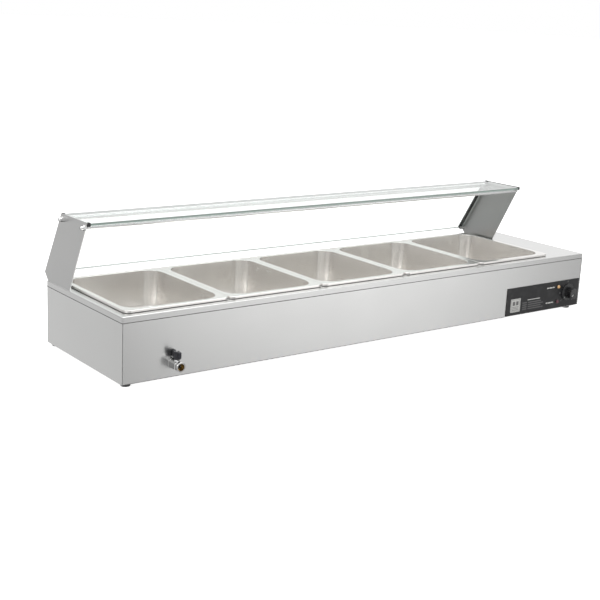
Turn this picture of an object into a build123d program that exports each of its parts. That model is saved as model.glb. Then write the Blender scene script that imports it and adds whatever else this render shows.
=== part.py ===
from build123d import *
import math
import os

# All lengths are millimetres. While modelling, x runs right from the casing's left side,
# y runs back from the casing's front face, and z runs up from the counter.
# The last section moves every piece so that the origin is the centre of the footprint.

# Casing and worktop
LENGTH = 1472.0
DEPTH = 365.0
SHEET = 1.2
CORNER_BEND = 2.0
FOOT_HEIGHT = 7.0
CASING_TOP = 143.0
DECK_TOP = 157.0
DECK_EDGE_RADIUS = 2.5
SEAM_RADIUS = 1.0
BOTTOM_FLANGE = 30.0
TOP_FLANGE = 14.0
SKIRT_RETURN = 10.0
BASE_Z = FOOT_HEIGHT + SHEET
BASE_TOP = BASE_Z + SHEET

# Screws and their nuts
SMALL_SCREW = 2.0
LARGE_SCREW = 2.5
FOOT_CLEARANCE = 2.6
NUT_FLATS = 8.0
NUT_HEIGHT = 4.0

# Vent slots in the back, behind the controls
VENT_COUNT = 7
VENT_PITCH = 9.0
VENT_WIDTH = 3.0
VENT_X0 = 1368.0
VENT_Z0 = 86.0
VENT_Z1 = 124.0

# Rubber feet
FOOT_RADIUS = 12.0
FOOT_RECESS = 3.4
FOOT_SPOTS = [(17.0, 15.0), (1437.0, 15.0), (17.0, 350.0), (1437.0, 350.0)]

# Gastronorm 1/2 pans, long side front to back
PAN_COUNT = 5
PAN_LONG = 325.0
PAN_SHORT = 265.0
PAN_DEPTH = 100.0
PAN_GAP = 1.0
PAN_PITCH = PAN_SHORT + PAN_GAP
PAN_LEFT = 18.0
PAN_FRONT = (DEPTH - PAN_LONG) / 2
PAN_SHEET = 0.8
PAN_FLANGE = 12.5
PAN_RIM_CORNER = 13.0
PAN_MOUTH_CORNER = 42.0
PAN_TAPER = 4.0
PAN_FLOOR_RADIUS = 16.0
COLLAR_HEIGHT = 5.5
COLLAR_NOTCH = 5.2
PAN_TOP = DECK_TOP + COLLAR_HEIGHT + PAN_SHEET
PAN_LIP_Z = DECK_TOP + 1.5

# The well, a shallow water tank under the worktop's opening
WELL_INSET = 9.5
WELL_X0 = PAN_LEFT + WELL_INSET
WELL_X1 = PAN_LEFT + (PAN_COUNT - 1) * PAN_PITCH + PAN_SHORT - WELL_INSET
WELL_Y0 = PAN_FRONT + WELL_INSET
WELL_Y1 = PAN_FRONT + PAN_LONG - WELL_INSET
WELL_CORNER = 25.0
TANK_SHEET = 1.0
TANK_FLOOR = 23.0
TANK_BEND = 2.0
TANK_FLANGE = 10.0
TANK_TOP = DECK_TOP - SHEET

# Sneeze guard
PLATE = 2.0
LEFT_PLATE_X = 0.5
RIGHT_PLATE_X = 1358.0
GUARD_BASE_FRONT = 248.0
GUARD_BASE_BACK = 360.0
GUARD_KINK = (377.0, 175.0)
GUARD_TOP_BACK = (288.0, 328.5)
GUARD_TOP_FRONT = (161.0, 329.0)
GUARD_FLANGE = 14.0
GUARD_FLANGE_TOP = 318.0
HOOK_REACH = 10.0
HOOK_SHEET = 1.6
STRIP = 1.2
GUARD_FOOT_Y0 = 275.0
GUARD_FOOT_Y1 = 350.0
GUARD_FOOT = 12.0
GUARD_SCREW_Y = (290.0, 335.0)
ROD_RADIUS = 4.5
ROD_END_RADIUS = 3.0
FRONT_ROD_Y = 168.7
REAR_ROD_Y = 276.0
GLASS = 6.0
GLASS_UNDERSIDE = 321.8
ROD_Z = GLASS_UNDERSIDE - ROD_RADIUS
GLASS_FRONT = 158.5
GLASS_BACK = 285.0
GLASS_END_GAP = 2.5
CAP_NUT_FLATS = 10.5
CAP_NUT_HEX = 6.0
CAP_NUT_REACH = 14.0
CAP_NUT_THREAD = 10.0
PAD_LENGTH = 4.5

# Drain valve, seen from the front at the lower left
DRAIN_X = 125.0
DRAIN_Z = 38.0
DRAIN_SHANK_RADIUS = 8.2
DRAIN_HEAD_RADIUS = 9.9
DRAIN_BORE_RADIUS = 5.0
VALVE_FLATS = 22.0
NECK_RADIUS = 9.2
NECK_END_Y = 12.0
VALVE_BACK_Y = -0.3
VALVE_SPLIT_Y = -26.5
VALVE_FRONT_Y = -35.0
OUTLET_COLLAR = 4.5
BALL_Y = -15.5
BALL_RADIUS = 8.5
BALL_CAVITY_RADIUS = 9.2
BALL_CAVITY_HALF = 9.5
RUNNING_GAP = 0.05
SHANK_END_Y = -4.5
OUTLET_RADIUS = 8.0
OUTLET_DEPTH = 7.0
STEM_RADIUS = 3.0
BOSS_RADIUS = 6.5
BOSS_TOP = DRAIN_Z + 13.0
HANDLE_Z = BOSS_TOP + 0.4
HANDLE_REACH = 14.5
HANDLE_RISE = 19.0
HANDLE_HUB_TOP = HANDLE_Z + HANDLE_RISE - 1.5
HANDLE_HUB_RADIUS = 6.5
HANDLE_HALF = 3.6

# Controls at the lower right of the front
PANEL_X0 = 1172.0
PANEL_X1 = 1466.5
PANEL_Z0 = 8.5
PANEL_Z1 = 86.0
PANEL_THICK = 1.5
KNOB_X = 1419.0
KNOB_Z = 50.0
KNOB_REST = 225.0
KNOB_SKIRT_RADIUS = 24.0
KNOB_GRIP_RADIUS = 15.5
KNOB_FRONT_Y = -27.0
KNOB_SKIRT_Y = -5.5
KNOB_BACK_Y = -PANEL_THICK - 0.4
SHAFT_RADIUS = 3.0
LAMP_X = 1379.0
LAMP_HEIGHTS = (70.0, 27.0)
LAMP_LENS_RADIUS = 5.0
LAMP_BARREL_RADIUS = 4.0
LAMP_BEZEL_RADIUS = 6.8
THERMOSTAT_SCREW_SPREAD = 14.0
THERMOSTAT_HEAD = 3.8
SPINDLE_HOLE = 5.0

# Heating and the electrical compartment
ELEMENT_RADIUS = 4.0
ELEMENT_Z = 49.0
ELEMENT_Y = (120.0, 245.0)
ELEMENT_LEFT_X = 70.0
ELEMENT_BUSH_RADIUS = 7.0
ELEMENT_CLIP_X = (330.0, 700.0, 1070.0)
BULB_Y = 75.0
BULB_Z = 48.0
LIMIT_Z = 92.0
BLOCK_WAYS = [1385.0 + 14.0 * way for way in range(6)]
BLOCK_Y = (180.0, 200.0)
BLOCK_TOP = 29.0
STUD_TOP = 26.0
WIRE_RADIUS = 1.2
WIRE_Z = 20.0

# Power cord, bundled on the counter behind the casing
CORD_RADIUS = 4.0
GLAND_RADIUS = 8.0
CORD_X = 1410.0
CORD_Z = 56.0
BUNDLE_X0 = 1080.0
BUNDLE_X1 = 1300.0
BUNDLE_Y0 = DEPTH + 14.0
BUNDLE_Y1 = DEPTH + 52.0
BUNDLE_BEND = 17.0
BUNDLE_RISE = 8.6
BUNDLE_TURNS = 3
PLUG_Z = 15.0

# Overall reach, which sets the origin
LEFT_REACH = LEFT_PLATE_X - CAP_NUT_REACH
FRONT_REACH = VALVE_FRONT_Y
REAR_REACH = BUNDLE_Y1 + CORD_RADIUS
ORIGIN_SHIFT = (-(LEFT_REACH + LENGTH) / 2, -(FRONT_REACH + REAR_REACH) / 2, 0.0)


# ---------------------------------------------------------------- helpers


def block(x0, x1, y0, y1, z0, z1):
    """A square-edged block between two corners."""
    size = Box(x1 - x0, y1 - y0, z1 - z0, align=(Align.MIN, Align.MIN, Align.MIN))
    return Pos(x0, y0, z0) * size


def slab(x0, x1, y0, y1, z0, z1, radius, taper=0.0):
    """A block with round upright corners. It narrows downwards when it has a taper."""
    outline = RectangleRounded(x1 - x0, y1 - y0, radius)
    placed = Pos((x0 + x1) / 2, (y0 + y1) / 2, z1) * outline
    return extrude(placed, amount=z1 - z0, dir=(0, 0, -1), taper=taper)


def rod(start, end, radius):
    """A round bar between two points."""
    along = Vector(*end) - Vector(*start)
    return extrude(Plane(origin=start, z_dir=along) * Circle(radius), along.length)


def hex_bar(start, end, flats):
    """A hexagonal bar between two points, measured across its flats."""
    along = Vector(*end) - Vector(*start)
    outline = RegularPolygon(flats / 2, 6, major_radius=False)
    return extrude(Plane(origin=start, z_dir=along) * outline, along.length)


def side_profile(points, x0, x1):
    """An outline in y and z, made x1 - x0 thick along x."""
    outline = make_face(Polyline(*points, close=True))
    return extrude(Pos(x0, 0, 0) * (Plane.YZ * outline), amount=x1 - x0)


def bent_wire(points, bend):
    """A path through points whose corners are rounded to one bend radius."""
    knots = [Vector(*point) for point in points]
    edges = []
    last = knots[0]
    for before, corner, after in zip(knots, knots[1:], knots[2:]):
        arrive = (corner - before).normalized()
        leave = (after - corner).normalized()
        half = math.radians(arrive.get_angle(leave)) / 2
        start = corner - arrive * (bend * math.tan(half))
        end = corner + leave * (bend * math.tan(half))
        inward = (leave - arrive).normalized()
        middle = corner + inward * (bend / math.cos(half) - bend)
        edges += [Line(last, start), ThreePointArc(start, middle, end)]
        last = end
    edges.append(Line(last, knots[-1]))
    return Wire(edges)


def pipe(points, radius, bend):
    """A round cable or tube along a bent path."""
    path = bent_wire(points, bend)
    start = Plane(origin=path @ 0, z_dir=path % 0)
    return sweep(start * Circle(radius), path=path)


def pan_head_screw(x, y, z_seat, length, radius, down=True):
    """A cross-recessed pan-head screw on an upright axis. Its head sits on z_seat."""
    way = 1 if down else -1
    head_height = radius * 1.1
    shank = rod((x, y, z_seat), (x, y, z_seat - way * length), radius)
    head = rod((x, y, z_seat), (x, y, z_seat + way * head_height), radius * 1.9)
    rim = head.edges().sort_by(Axis.Z)[-1 if down else 0]
    head = fillet(rim, head_height * 0.6)
    z_crown = z_seat + way * head_height
    low, high = sorted((z_crown - way * head_height * 0.5, z_crown + way))
    long, short = radius * 0.9, radius * 0.17
    for half_x, half_y in ((long, short), (short, long)):
        head -= block(x - half_x, x + half_x, y - half_y, y + half_y, low, high)
    return shank + head


def drill(shape, x, y, z0, z1, radius):
    """The shape less an upright round hole."""
    return shape - rod((x, y, z0), (x, y, z1), radius)


def deck_screw_spots():
    """Places of the screws that join the worktop to the casing, front and back."""
    across = [LENGTH * share for share in (0.12, 0.37, 0.63, 0.88)]
    return [(x, y) for y in (SHEET + 5.5, DEPTH - SHEET - 5.5) for x in across]


def base_screw_spots():
    """Places of the screws that join the base plate to the casing, front and back."""
    across = [LENGTH * share for share in (0.08, 0.36, 0.64, 0.92)]
    return [(x, y) for y in (22.0, DEPTH - 22.0) for x in across]


# ---------------------------------------------------------------- casing


def drill_flanges(shape):
    """Cuts the feet, base and worktop screw holes wherever the shape has a flange."""
    for x, y in FOOT_SPOTS:
        shape = drill(shape, x, y, FOOT_HEIGHT - 1, BASE_TOP + 1, FOOT_CLEARANCE)
    for x, y in base_screw_spots():
        shape = drill(shape, x, y, FOOT_HEIGHT - 1, BASE_TOP + 1, SMALL_SCREW)
    for x, y in deck_screw_spots():
        shape = drill(shape, x, y, CASING_TOP - 3, CASING_TOP + 3, SMALL_SCREW)
    return shape


def body_shell():
    """Left side, back and right side folded from one sheet, with flanges top and bottom."""
    outer = block(0, LENGTH, 0, DEPTH, FOOT_HEIGHT, CASING_TOP)
    back_corners = outer.edges().filter_by(Axis.Z).sort_by(Axis.Y)[-2:]
    outer = fillet(back_corners, CORNER_BEND)
    seam = outer.edges().filter_by_position(Axis.Z, CASING_TOP, CASING_TOP).sort_by(Axis.Y)[1:]
    outer = fillet(seam, SEAM_RADIUS)
    inside = block(SHEET, LENGTH - SHEET, -1, DEPTH - SHEET, BASE_Z, CASING_TOP - SHEET)
    below = block(BOTTOM_FLANGE, LENGTH - BOTTOM_FLANGE, -1, DEPTH - BOTTOM_FLANGE, 0, BASE_Z)
    above = block(TOP_FLANGE, LENGTH - TOP_FLANGE, -1, DEPTH - TOP_FLANGE, BASE_Z, CASING_TOP + 1)
    corner = SHEET + 0.2
    front_mouth = block(SHEET, LENGTH - SHEET, -1, corner, 0, CASING_TOP + 1)
    shell = outer - inside - below - above - front_mouth
    shell -= rod((CORD_X, DEPTH - 5, CORD_Z), (CORD_X, DEPTH + 5, CORD_Z), GLAND_RADIUS)
    for slot in range(VENT_COUNT):
        x = VENT_X0 + VENT_PITCH * slot
        shell -= block(x, x + VENT_WIDTH, DEPTH - 5, DEPTH + 5, VENT_Z0, VENT_Z1)
    return drill_flanges(shell)


def front_panel():
    """The front sheet, set between the two sides, with a flange at its top and bottom."""
    gap = SHEET + 0.2
    sheet = block(gap, LENGTH - gap, 0, SHEET, FOOT_HEIGHT, CASING_TOP)
    edges = sheet.edges().filter_by(Axis.Z).sort_by(Axis.Y)[:2]
    top_edge = sheet.edges().filter_by(Axis.X).sort_by(Axis.Z)[-2:].sort_by(Axis.Y)[0]
    sheet = fillet(edges + [top_edge], SEAM_RADIUS)
    low_x0 = BOTTOM_FLANGE + 1
    lower = block(low_x0, LENGTH - low_x0, SHEET, BOTTOM_FLANGE, FOOT_HEIGHT, BASE_Z)
    top_x0 = TOP_FLANGE + 1
    upper = block(top_x0, LENGTH - top_x0, SHEET, TOP_FLANGE, CASING_TOP - SHEET, CASING_TOP)
    panel = sheet + lower + upper
    panel -= rod((DRAIN_X, -5, DRAIN_Z), (DRAIN_X, 5, DRAIN_Z), 9.5)
    panel -= rod((KNOB_X, -5, KNOB_Z), (KNOB_X, 5, KNOB_Z), SPINDLE_HOLE)
    for side in (-1, 1):
        x = KNOB_X + side * THERMOSTAT_SCREW_SPREAD
        panel -= rod((x, -5, KNOB_Z), (x, 5, KNOB_Z), SMALL_SCREW)
    for z in LAMP_HEIGHTS:
        panel -= rod((LAMP_X, -5, z), (LAMP_X, 5, z), LAMP_BARREL_RADIUS)
    return drill_flanges(panel)


def base_plate():
    """The floor of the casing, resting on the bottom flanges."""
    edge = SHEET + 0.6
    plate = block(edge, LENGTH - edge, edge, DEPTH - edge, BASE_Z, BASE_TOP)
    return drill_flanges(plate)


def sheet_screws():
    """Sixteen like screws: eight into the base plate, eight into the worktop's return."""
    low = [(x, y, FOOT_HEIGHT) for x, y in base_screw_spots()]
    high = [(x, y, CASING_TOP - SHEET) for x, y in deck_screw_spots()]
    return [pan_head_screw(x, y, z, 8.0, SMALL_SCREW, down=False) for x, y, z in low + high]


def rubber_feet():
    """Four tapered rubber feet, each with a recess for its screw."""
    feet = []
    for x, y in FOOT_SPOTS:
        foot = Pos(x, y, 0) * Cone(
            FOOT_RADIUS - 1.5, FOOT_RADIUS, FOOT_HEIGHT, align=(Align.CENTER, Align.CENTER, Align.MIN)
        )
        foot = fillet(foot.edges().sort_by(Axis.Z)[0], 1.5)
        foot = drill(foot, x, y, -1, FOOT_RECESS, 5.5)
        feet.append(drill(foot, x, y, 0, FOOT_HEIGHT + 1, LARGE_SCREW))
    return feet


def foot_screws():
    """Four screws that clamp the feet to the flanges and the base plate."""
    return [pan_head_screw(x, y, FOOT_RECESS, 13.5, LARGE_SCREW, down=False) for x, y in FOOT_SPOTS]


def hex_nuts():
    """Eight like nuts: four on the foot screws, four on the guard's screws."""
    low = [(x, y, BASE_TOP) for x, y in FOOT_SPOTS]
    high = [(x, y, TANK_TOP - NUT_HEIGHT) for x, y in guard_spots()]
    nuts = []
    for x, y, z in low + high:
        nut = hex_bar((x, y, z), (x, y, z + NUT_HEIGHT), NUT_FLATS)
        nuts.append(drill(nut, x, y, z - 1, z + NUT_HEIGHT + 1, LARGE_SCREW))
    return nuts


# ---------------------------------------------------------------- worktop and well


def top_deck():
    """The worktop sheet: a down-turned skirt outside, an up-turned collar round the well.

    The collar is notched where the lips of two neighbouring pans cross it."""
    outer = block(0, LENGTH, 0, DEPTH, CASING_TOP, DECK_TOP)
    outer = fillet(outer.edges().filter_by(Axis.Z), CORNER_BEND)
    top_loop = outer.faces().sort_by(Axis.Z)[-1].edges()
    outer = fillet(top_loop, DECK_EDGE_RADIUS - 0.6)
    seam_loop = outer.faces().sort_by(Axis.Z)[0].edges()
    outer = fillet(seam_loop, SEAM_RADIUS)
    collar = slab(
        WELL_X0 - SHEET, WELL_X1 + SHEET, WELL_Y0 - SHEET, WELL_Y1 + SHEET,
        DECK_TOP - SHEET, DECK_TOP + COLLAR_HEIGHT, WELL_CORNER + SHEET,
    )
    hollow = block(
        SHEET, LENGTH - SHEET, SHEET, DEPTH - SHEET, CASING_TOP + SHEET, DECK_TOP - SHEET
    )
    inset = SHEET + SKIRT_RETURN
    mouth = block(inset, LENGTH - inset, inset, DEPTH - inset, CASING_TOP - 1, CASING_TOP + 5)
    well = slab(
        WELL_X0, WELL_X1, WELL_Y0, WELL_Y1, CASING_TOP, DECK_TOP + COLLAR_HEIGHT + 1, WELL_CORNER
    )
    deck = outer + collar - hollow - mouth - well
    for number in range(1, PAN_COUNT):
        joint_x = PAN_LEFT + number * PAN_PITCH - PAN_GAP / 2
        x0, x1 = joint_x - COLLAR_NOTCH / 2, joint_x + COLLAR_NOTCH / 2
        deck -= block(x0, x1, 0, DEPTH, DECK_TOP + 1.0, DECK_TOP + COLLAR_HEIGHT + 1)
    for x in (guard_screw_x(LEFT_PLATE_X), guard_screw_x(RIGHT_PLATE_X)):
        for y in GUARD_SCREW_Y:
            deck = drill(deck, x, y, DECK_TOP - 5, DECK_TOP + 5, LARGE_SCREW)
    for x, y in deck_screw_spots():
        deck = drill(deck, x, y, CASING_TOP - 3, CASING_TOP + 3, SMALL_SCREW)
    return deck


def water_tank():
    """The well: a deep-drawn tray welded under the worktop's opening."""
    t = TANK_SHEET
    outer = slab(
        WELL_X0 - t, WELL_X1 + t, WELL_Y0 - t, WELL_Y1 + t, TANK_FLOOR, TANK_TOP, WELL_CORNER + t
    )
    outer = fillet(outer.faces().sort_by(Axis.Z)[0].edges(), TANK_BEND + t)
    inner = slab(WELL_X0, WELL_X1, WELL_Y0, WELL_Y1, TANK_FLOOR + t, TANK_TOP, WELL_CORNER)
    inner = fillet(inner.faces().sort_by(Axis.Z)[0].edges(), TANK_BEND)
    reach = t + TANK_FLANGE
    flange = slab(
        WELL_X0 - reach, WELL_X1 + reach, WELL_Y0 - reach, WELL_Y1 + reach,
        TANK_TOP - t, TANK_TOP, WELL_CORNER + reach,
    )
    tank = outer + flange - inner
    tank -= rod((DRAIN_X, 10, DRAIN_Z), (DRAIN_X, 40, DRAIN_Z), DRAIN_SHANK_RADIUS)
    x0, x1 = WELL_X1 - 5, WELL_X1 + 5
    for y in ELEMENT_Y:
        tank -= rod((x0, y, ELEMENT_Z), (x1, y, ELEMENT_Z), ELEMENT_BUSH_RADIUS)
    return tank - rod((x0, BULB_Y, BULB_Z), (x1, BULB_Y, BULB_Z), 5.0)


def pan(index):
    """One gastronorm pan: a rim with a turned-down lip and a tapered, round-cornered body."""
    x0 = PAN_LEFT + index * PAN_PITCH
    x1 = x0 + PAN_SHORT
    y0 = PAN_FRONT
    y1 = y0 + PAN_LONG
    t = PAN_SHEET
    rim = slab(x0, x1, y0, y1, PAN_LIP_Z, PAN_TOP, PAN_RIM_CORNER)
    under_rim = slab(
        x0 + t, x1 - t, y0 + t, y1 - t, PAN_LIP_Z - 1, PAN_TOP - t, PAN_RIM_CORNER - t
    )
    f = PAN_FLANGE
    outer = slab(
        x0 + f - t, x1 - f + t, y0 + f - t, y1 - f + t,
        PAN_TOP - PAN_DEPTH, PAN_TOP, PAN_MOUTH_CORNER + t, taper=PAN_TAPER,
    )
    outer = fillet(outer.faces().sort_by(Axis.Z)[0].edges(), PAN_FLOOR_RADIUS + t)
    inner = slab(
        x0 + f, x1 - f, y0 + f, y1 - f,
        PAN_TOP - PAN_DEPTH + t, PAN_TOP, PAN_MOUTH_CORNER, taper=PAN_TAPER,
    )
    inner = fillet(inner.faces().sort_by(Axis.Z)[0].edges(), PAN_FLOOR_RADIUS)
    whole = (rim - under_rim) + outer - inner
    top_edges = whole.edges().filter_by_position(Axis.Z, PAN_TOP - 0.01, PAN_TOP + 0.01)
    return fillet(top_edges, t * 1.5)


# ---------------------------------------------------------------- sneeze guard


def guard_screw_x(plate_x):
    """Where a bracket's foot screws stand: inside the left plate, outside the right one."""
    return plate_x + PLATE + GUARD_FOOT / 2


def back_edge(along, inward):
    """A point in y and z, measured up a bracket's back edge and in from it."""
    (ky, kz), (ty, tz) = GUARD_KINK, GUARD_TOP_BACK
    span = math.hypot(ty - ky, tz - kz)
    uy, uz = (ty - ky) / span, (tz - kz) / span
    return (ky + along * uy - inward * uz, kz + along * uz + inward * uy)


def back_edge_length(z):
    """How far up the back edge a height lies."""
    (ky, kz), (ty, tz) = GUARD_KINK, GUARD_TOP_BACK
    return (z - kz) * math.hypot(ty - ky, tz - kz) / (tz - kz)


def guard_bracket(plate_x, inward):
    """A plate with a foot on the worktop and a J-shaped back flange for the rear glass."""
    outline = [
        (GUARD_BASE_FRONT, DECK_TOP), (GUARD_BASE_BACK, DECK_TOP), GUARD_KINK,
        GUARD_TOP_BACK, GUARD_TOP_FRONT,
    ]
    plate = side_profile(outline, plate_x, plate_x + PLATE)
    flange_end = back_edge_length(GUARD_FLANGE_TOP)
    outside = HOOK_REACH + HOOK_SHEET
    hook = [
        back_edge(0, 0), back_edge(flange_end, 0), back_edge(flange_end, PLATE),
        back_edge(PLATE, PLATE), back_edge(PLATE, HOOK_REACH), back_edge(HOOK_REACH, HOOK_REACH),
        back_edge(HOOK_REACH, outside), back_edge(0, outside),
    ]
    hook_x = plate_x + PLATE if inward > 0 else plate_x - GUARD_FLANGE
    bracket = plate + side_profile(hook, hook_x, hook_x + GUARD_FLANGE)
    foot_x = plate_x + PLATE
    bracket += block(
        foot_x, foot_x + GUARD_FOOT, GUARD_FOOT_Y0, GUARD_FOOT_Y1, DECK_TOP, DECK_TOP + PLATE
    )
    for y in GUARD_SCREW_Y:
        bracket = drill(bracket, guard_screw_x(plate_x), y, DECK_TOP - 1, DECK_TOP + 5, LARGE_SCREW)
    for y in (FRONT_ROD_Y, REAR_ROD_Y):
        bracket -= rod((plate_x - 1, y, ROD_Z), (plate_x + PLATE + 1, y, ROD_Z), ROD_END_RADIUS)
    return bracket


def guard_spots():
    """Places of the four bracket screws."""
    return [(guard_screw_x(x), y) for x in (LEFT_PLATE_X, RIGHT_PLATE_X) for y in GUARD_SCREW_Y]


def bracket_screws():
    """Four screws through the bracket feet and the worktop."""
    return [pan_head_screw(x, y, DECK_TOP + PLATE, 9.0, LARGE_SCREW) for x, y in guard_spots()]


def tie_rod(y):
    """A bar that carries the top glass. Its thin ends pass through the two brackets."""
    inner_left = LEFT_PLATE_X + PLATE
    thick = rod((inner_left, y, ROD_Z), (RIGHT_PLATE_X, y, ROD_Z), ROD_RADIUS)
    thin_end = LEFT_PLATE_X - CAP_NUT_THREAD
    thin = rod((thin_end, y, ROD_Z), (RIGHT_PLATE_X + PLATE, y, ROD_Z), ROD_END_RADIUS)
    return thick + thin


def cap_nuts():
    """Two domed nuts on the outside of the left bracket."""
    nuts = []
    for y in (FRONT_ROD_Y, REAR_ROD_Y):
        hex_end = LEFT_PLATE_X - CAP_NUT_HEX
        nut = hex_bar((LEFT_PLATE_X, y, ROD_Z), (hex_end, y, ROD_Z), CAP_NUT_FLATS)
        dome_radius = CAP_NUT_FLATS / 2 - 0.4
        neck_end = LEFT_PLATE_X - CAP_NUT_REACH + dome_radius
        nut += rod((hex_end, y, ROD_Z), (neck_end, y, ROD_Z), dome_radius)
        nut += Pos(neck_end, y, ROD_Z) * Sphere(dome_radius)
        hole_end = LEFT_PLATE_X - CAP_NUT_THREAD
        nuts.append(nut - rod((LEFT_PLATE_X + 1, y, ROD_Z), (hole_end, y, ROD_Z), ROD_END_RADIUS))
    return nuts


def top_glass():
    """The flat shelf of the guard, resting on the two tie rods."""
    x0 = LEFT_PLATE_X + PLATE + GLASS_END_GAP
    x1 = RIGHT_PLATE_X - GLASS_END_GAP
    top = GLASS_UNDERSIDE + GLASS
    pane = slab(x0, x1, GLASS_FRONT, GLASS_BACK, GLASS_UNDERSIDE, top, 3.0)
    loops = pane.faces().sort_by(Axis.Z)[0].edges() + pane.faces().sort_by(Axis.Z)[-1].edges()
    return chamfer(loops, 0.6)


def glass_corner_pads():
    """Four rubber corner cushions that hold the top glass between the brackets."""
    x_left = LEFT_PLATE_X + PLATE
    x_right = RIGHT_PLATE_X
    pads = []
    glass = slab(
        x_left + GLASS_END_GAP, x_right - GLASS_END_GAP, GLASS_FRONT, GLASS_BACK,
        GLASS_UNDERSIDE, GLASS_UNDERSIDE + GLASS, 3.0,
    )
    front = (GLASS_FRONT - 1.5, GLASS_FRONT + 7.0)
    back = (GLASS_BACK - 4.4, GLASS_BACK + 5.0)
    for y0, y1 in (front, back):
        for x0 in (x_left, x_right - PAD_LENGTH):
            x1 = x0 + PAD_LENGTH
            pad = block(x0, x1, y0, y1, GLASS_UNDERSIDE - 1.0, GLASS_UNDERSIDE + GLASS + 1.6)
            pad = fillet(pad.faces().sort_by(Axis.Z)[-1].edges(), 0.8)
            pads.append(pad - glass)
    return pads


def rear_glass():
    """The sloping pane on the customers' side, held in the brackets' back flanges."""
    low = PLATE + STRIP
    high = back_edge_length(GUARD_FLANGE_TOP + 1.0)
    corners = [(low, low), (high, low), (high, low + GLASS), (low, low + GLASS)]
    outline = [back_edge(along, inward) for along, inward in corners]
    pane = side_profile(outline, LEFT_PLATE_X + PLATE + 1.5, RIGHT_PLATE_X - 1.5)
    return chamfer(pane.edges().filter_by(Axis.X), 0.6)


def rear_glass_strips():
    """Two rubber strips between the rear glass and the flanges, turned under its lower edge."""
    strips = []
    high = back_edge_length(GUARD_FLANGE_TOP)
    seat = PLATE + STRIP
    toe = HOOK_REACH - 0.2
    for x0 in (LEFT_PLATE_X + PLATE, RIGHT_PLATE_X - GUARD_FLANGE):
        corners = [
            (PLATE, PLATE), (high, PLATE), (high, seat), (seat, seat), (seat, toe), (PLATE, toe),
        ]
        outline = [back_edge(along, inward) for along, inward in corners]
        strips.append(side_profile(outline, x0, x0 + GUARD_FLANGE))
    return strips


# ---------------------------------------------------------------- drain


def drain_point(y, dx=0.0, dz=0.0):
    """A point on or near the drain's axis."""
    return (DRAIN_X + dx, y, DRAIN_Z + dz)


def drain_fitting():
    """The tank outlet: a flanged head inside the tank and a threaded shank to the valve."""
    head = rod(drain_point(WELL_Y0 + 2.0), drain_point(WELL_Y0 + 5.5), DRAIN_HEAD_RADIUS)
    shank = rod(drain_point(WELL_Y0 + 2.0), drain_point(SHANK_END_Y), DRAIN_SHANK_RADIUS)
    bore = rod(drain_point(WELL_Y0 + 10), drain_point(SHANK_END_Y - 1), DRAIN_BORE_RADIUS)
    return head + shank - bore


def drain_gasket():
    """The sealing ring between the tank wall and the outlet's head."""
    ring = rod(drain_point(WELL_Y0), drain_point(WELL_Y0 + 2.0), DRAIN_HEAD_RADIUS)
    return ring - rod(drain_point(WELL_Y0 - 1), drain_point(WELL_Y0 + 3), DRAIN_SHANK_RADIUS)


def drain_lock_nut():
    """The nut that pulls the outlet tight against the tank wall."""
    seat = WELL_Y0 - TANK_SHEET
    nut = hex_bar(drain_point(seat), drain_point(seat - 6.0), 24.0)
    return nut - rod(drain_point(seat + 1), drain_point(seat - 8), DRAIN_SHANK_RADIUS)


def valve_body():
    """The hexagonal body: its neck screws on to the shank, and a boss on top holds the stem."""
    body = hex_bar(drain_point(VALVE_BACK_Y), drain_point(VALVE_SPLIT_Y), VALVE_FLATS)
    rims = body.edges().filter_by_position(Axis.Y, VALVE_BACK_Y - 0.01, VALVE_BACK_Y + 0.01)
    rims += body.edges().filter_by_position(Axis.Y, VALVE_SPLIT_Y - 0.01, VALVE_SPLIT_Y + 0.01)
    body = chamfer(rims, 1.0)
    body += rod(drain_point(BALL_Y), drain_point(BALL_Y, dz=BOSS_TOP - DRAIN_Z), BOSS_RADIUS)
    cavity_back = BALL_Y + BALL_CAVITY_HALF
    body -= rod(drain_point(cavity_back), drain_point(VALVE_SPLIT_Y - 1), BALL_CAVITY_RADIUS)
    body += rod(drain_point(NECK_END_Y), drain_point(VALVE_BACK_Y - 3), NECK_RADIUS)
    body -= rod(drain_point(NECK_END_Y + 1), drain_point(SHANK_END_Y), DRAIN_SHANK_RADIUS)
    body -= rod(drain_point(SHANK_END_Y + 1), drain_point(cavity_back - 1), DRAIN_BORE_RADIUS)
    stem_hole = STEM_RADIUS + RUNNING_GAP
    body = drill(body, DRAIN_X, BALL_Y, DRAIN_Z, BOSS_TOP + 1, stem_hole)
    return drill(body, DRAIN_X, BALL_Y, BOSS_TOP - 2.8, BOSS_TOP + 1, 4.6)


def valve_outlet():
    """The screwed-in end piece, with a female thread for a hose tail."""
    spigot_end = BALL_Y - BALL_CAVITY_HALF
    spigot = rod(drain_point(spigot_end), drain_point(VALVE_SPLIT_Y), BALL_CAVITY_RADIUS)
    collar_end = VALVE_SPLIT_Y - OUTLET_COLLAR
    collar = hex_bar(drain_point(VALVE_SPLIT_Y), drain_point(collar_end), VALVE_FLATS - 1.0)
    ring = rod(drain_point(collar_end), drain_point(VALVE_FRONT_Y), VALVE_FLATS / 2)
    mouth = ring.edges().filter_by_position(Axis.Y, VALVE_FRONT_Y - 0.01, VALVE_FRONT_Y + 0.01)
    ring = chamfer(mouth, 0.8)
    piece = spigot + collar + ring
    piece -= rod(drain_point(spigot_end + 1), drain_point(VALVE_FRONT_Y - 1), DRAIN_BORE_RADIUS)
    return piece - rod(
        drain_point(VALVE_FRONT_Y - 1), drain_point(VALVE_FRONT_Y + OUTLET_DEPTH), OUTLET_RADIUS
    )


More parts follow.
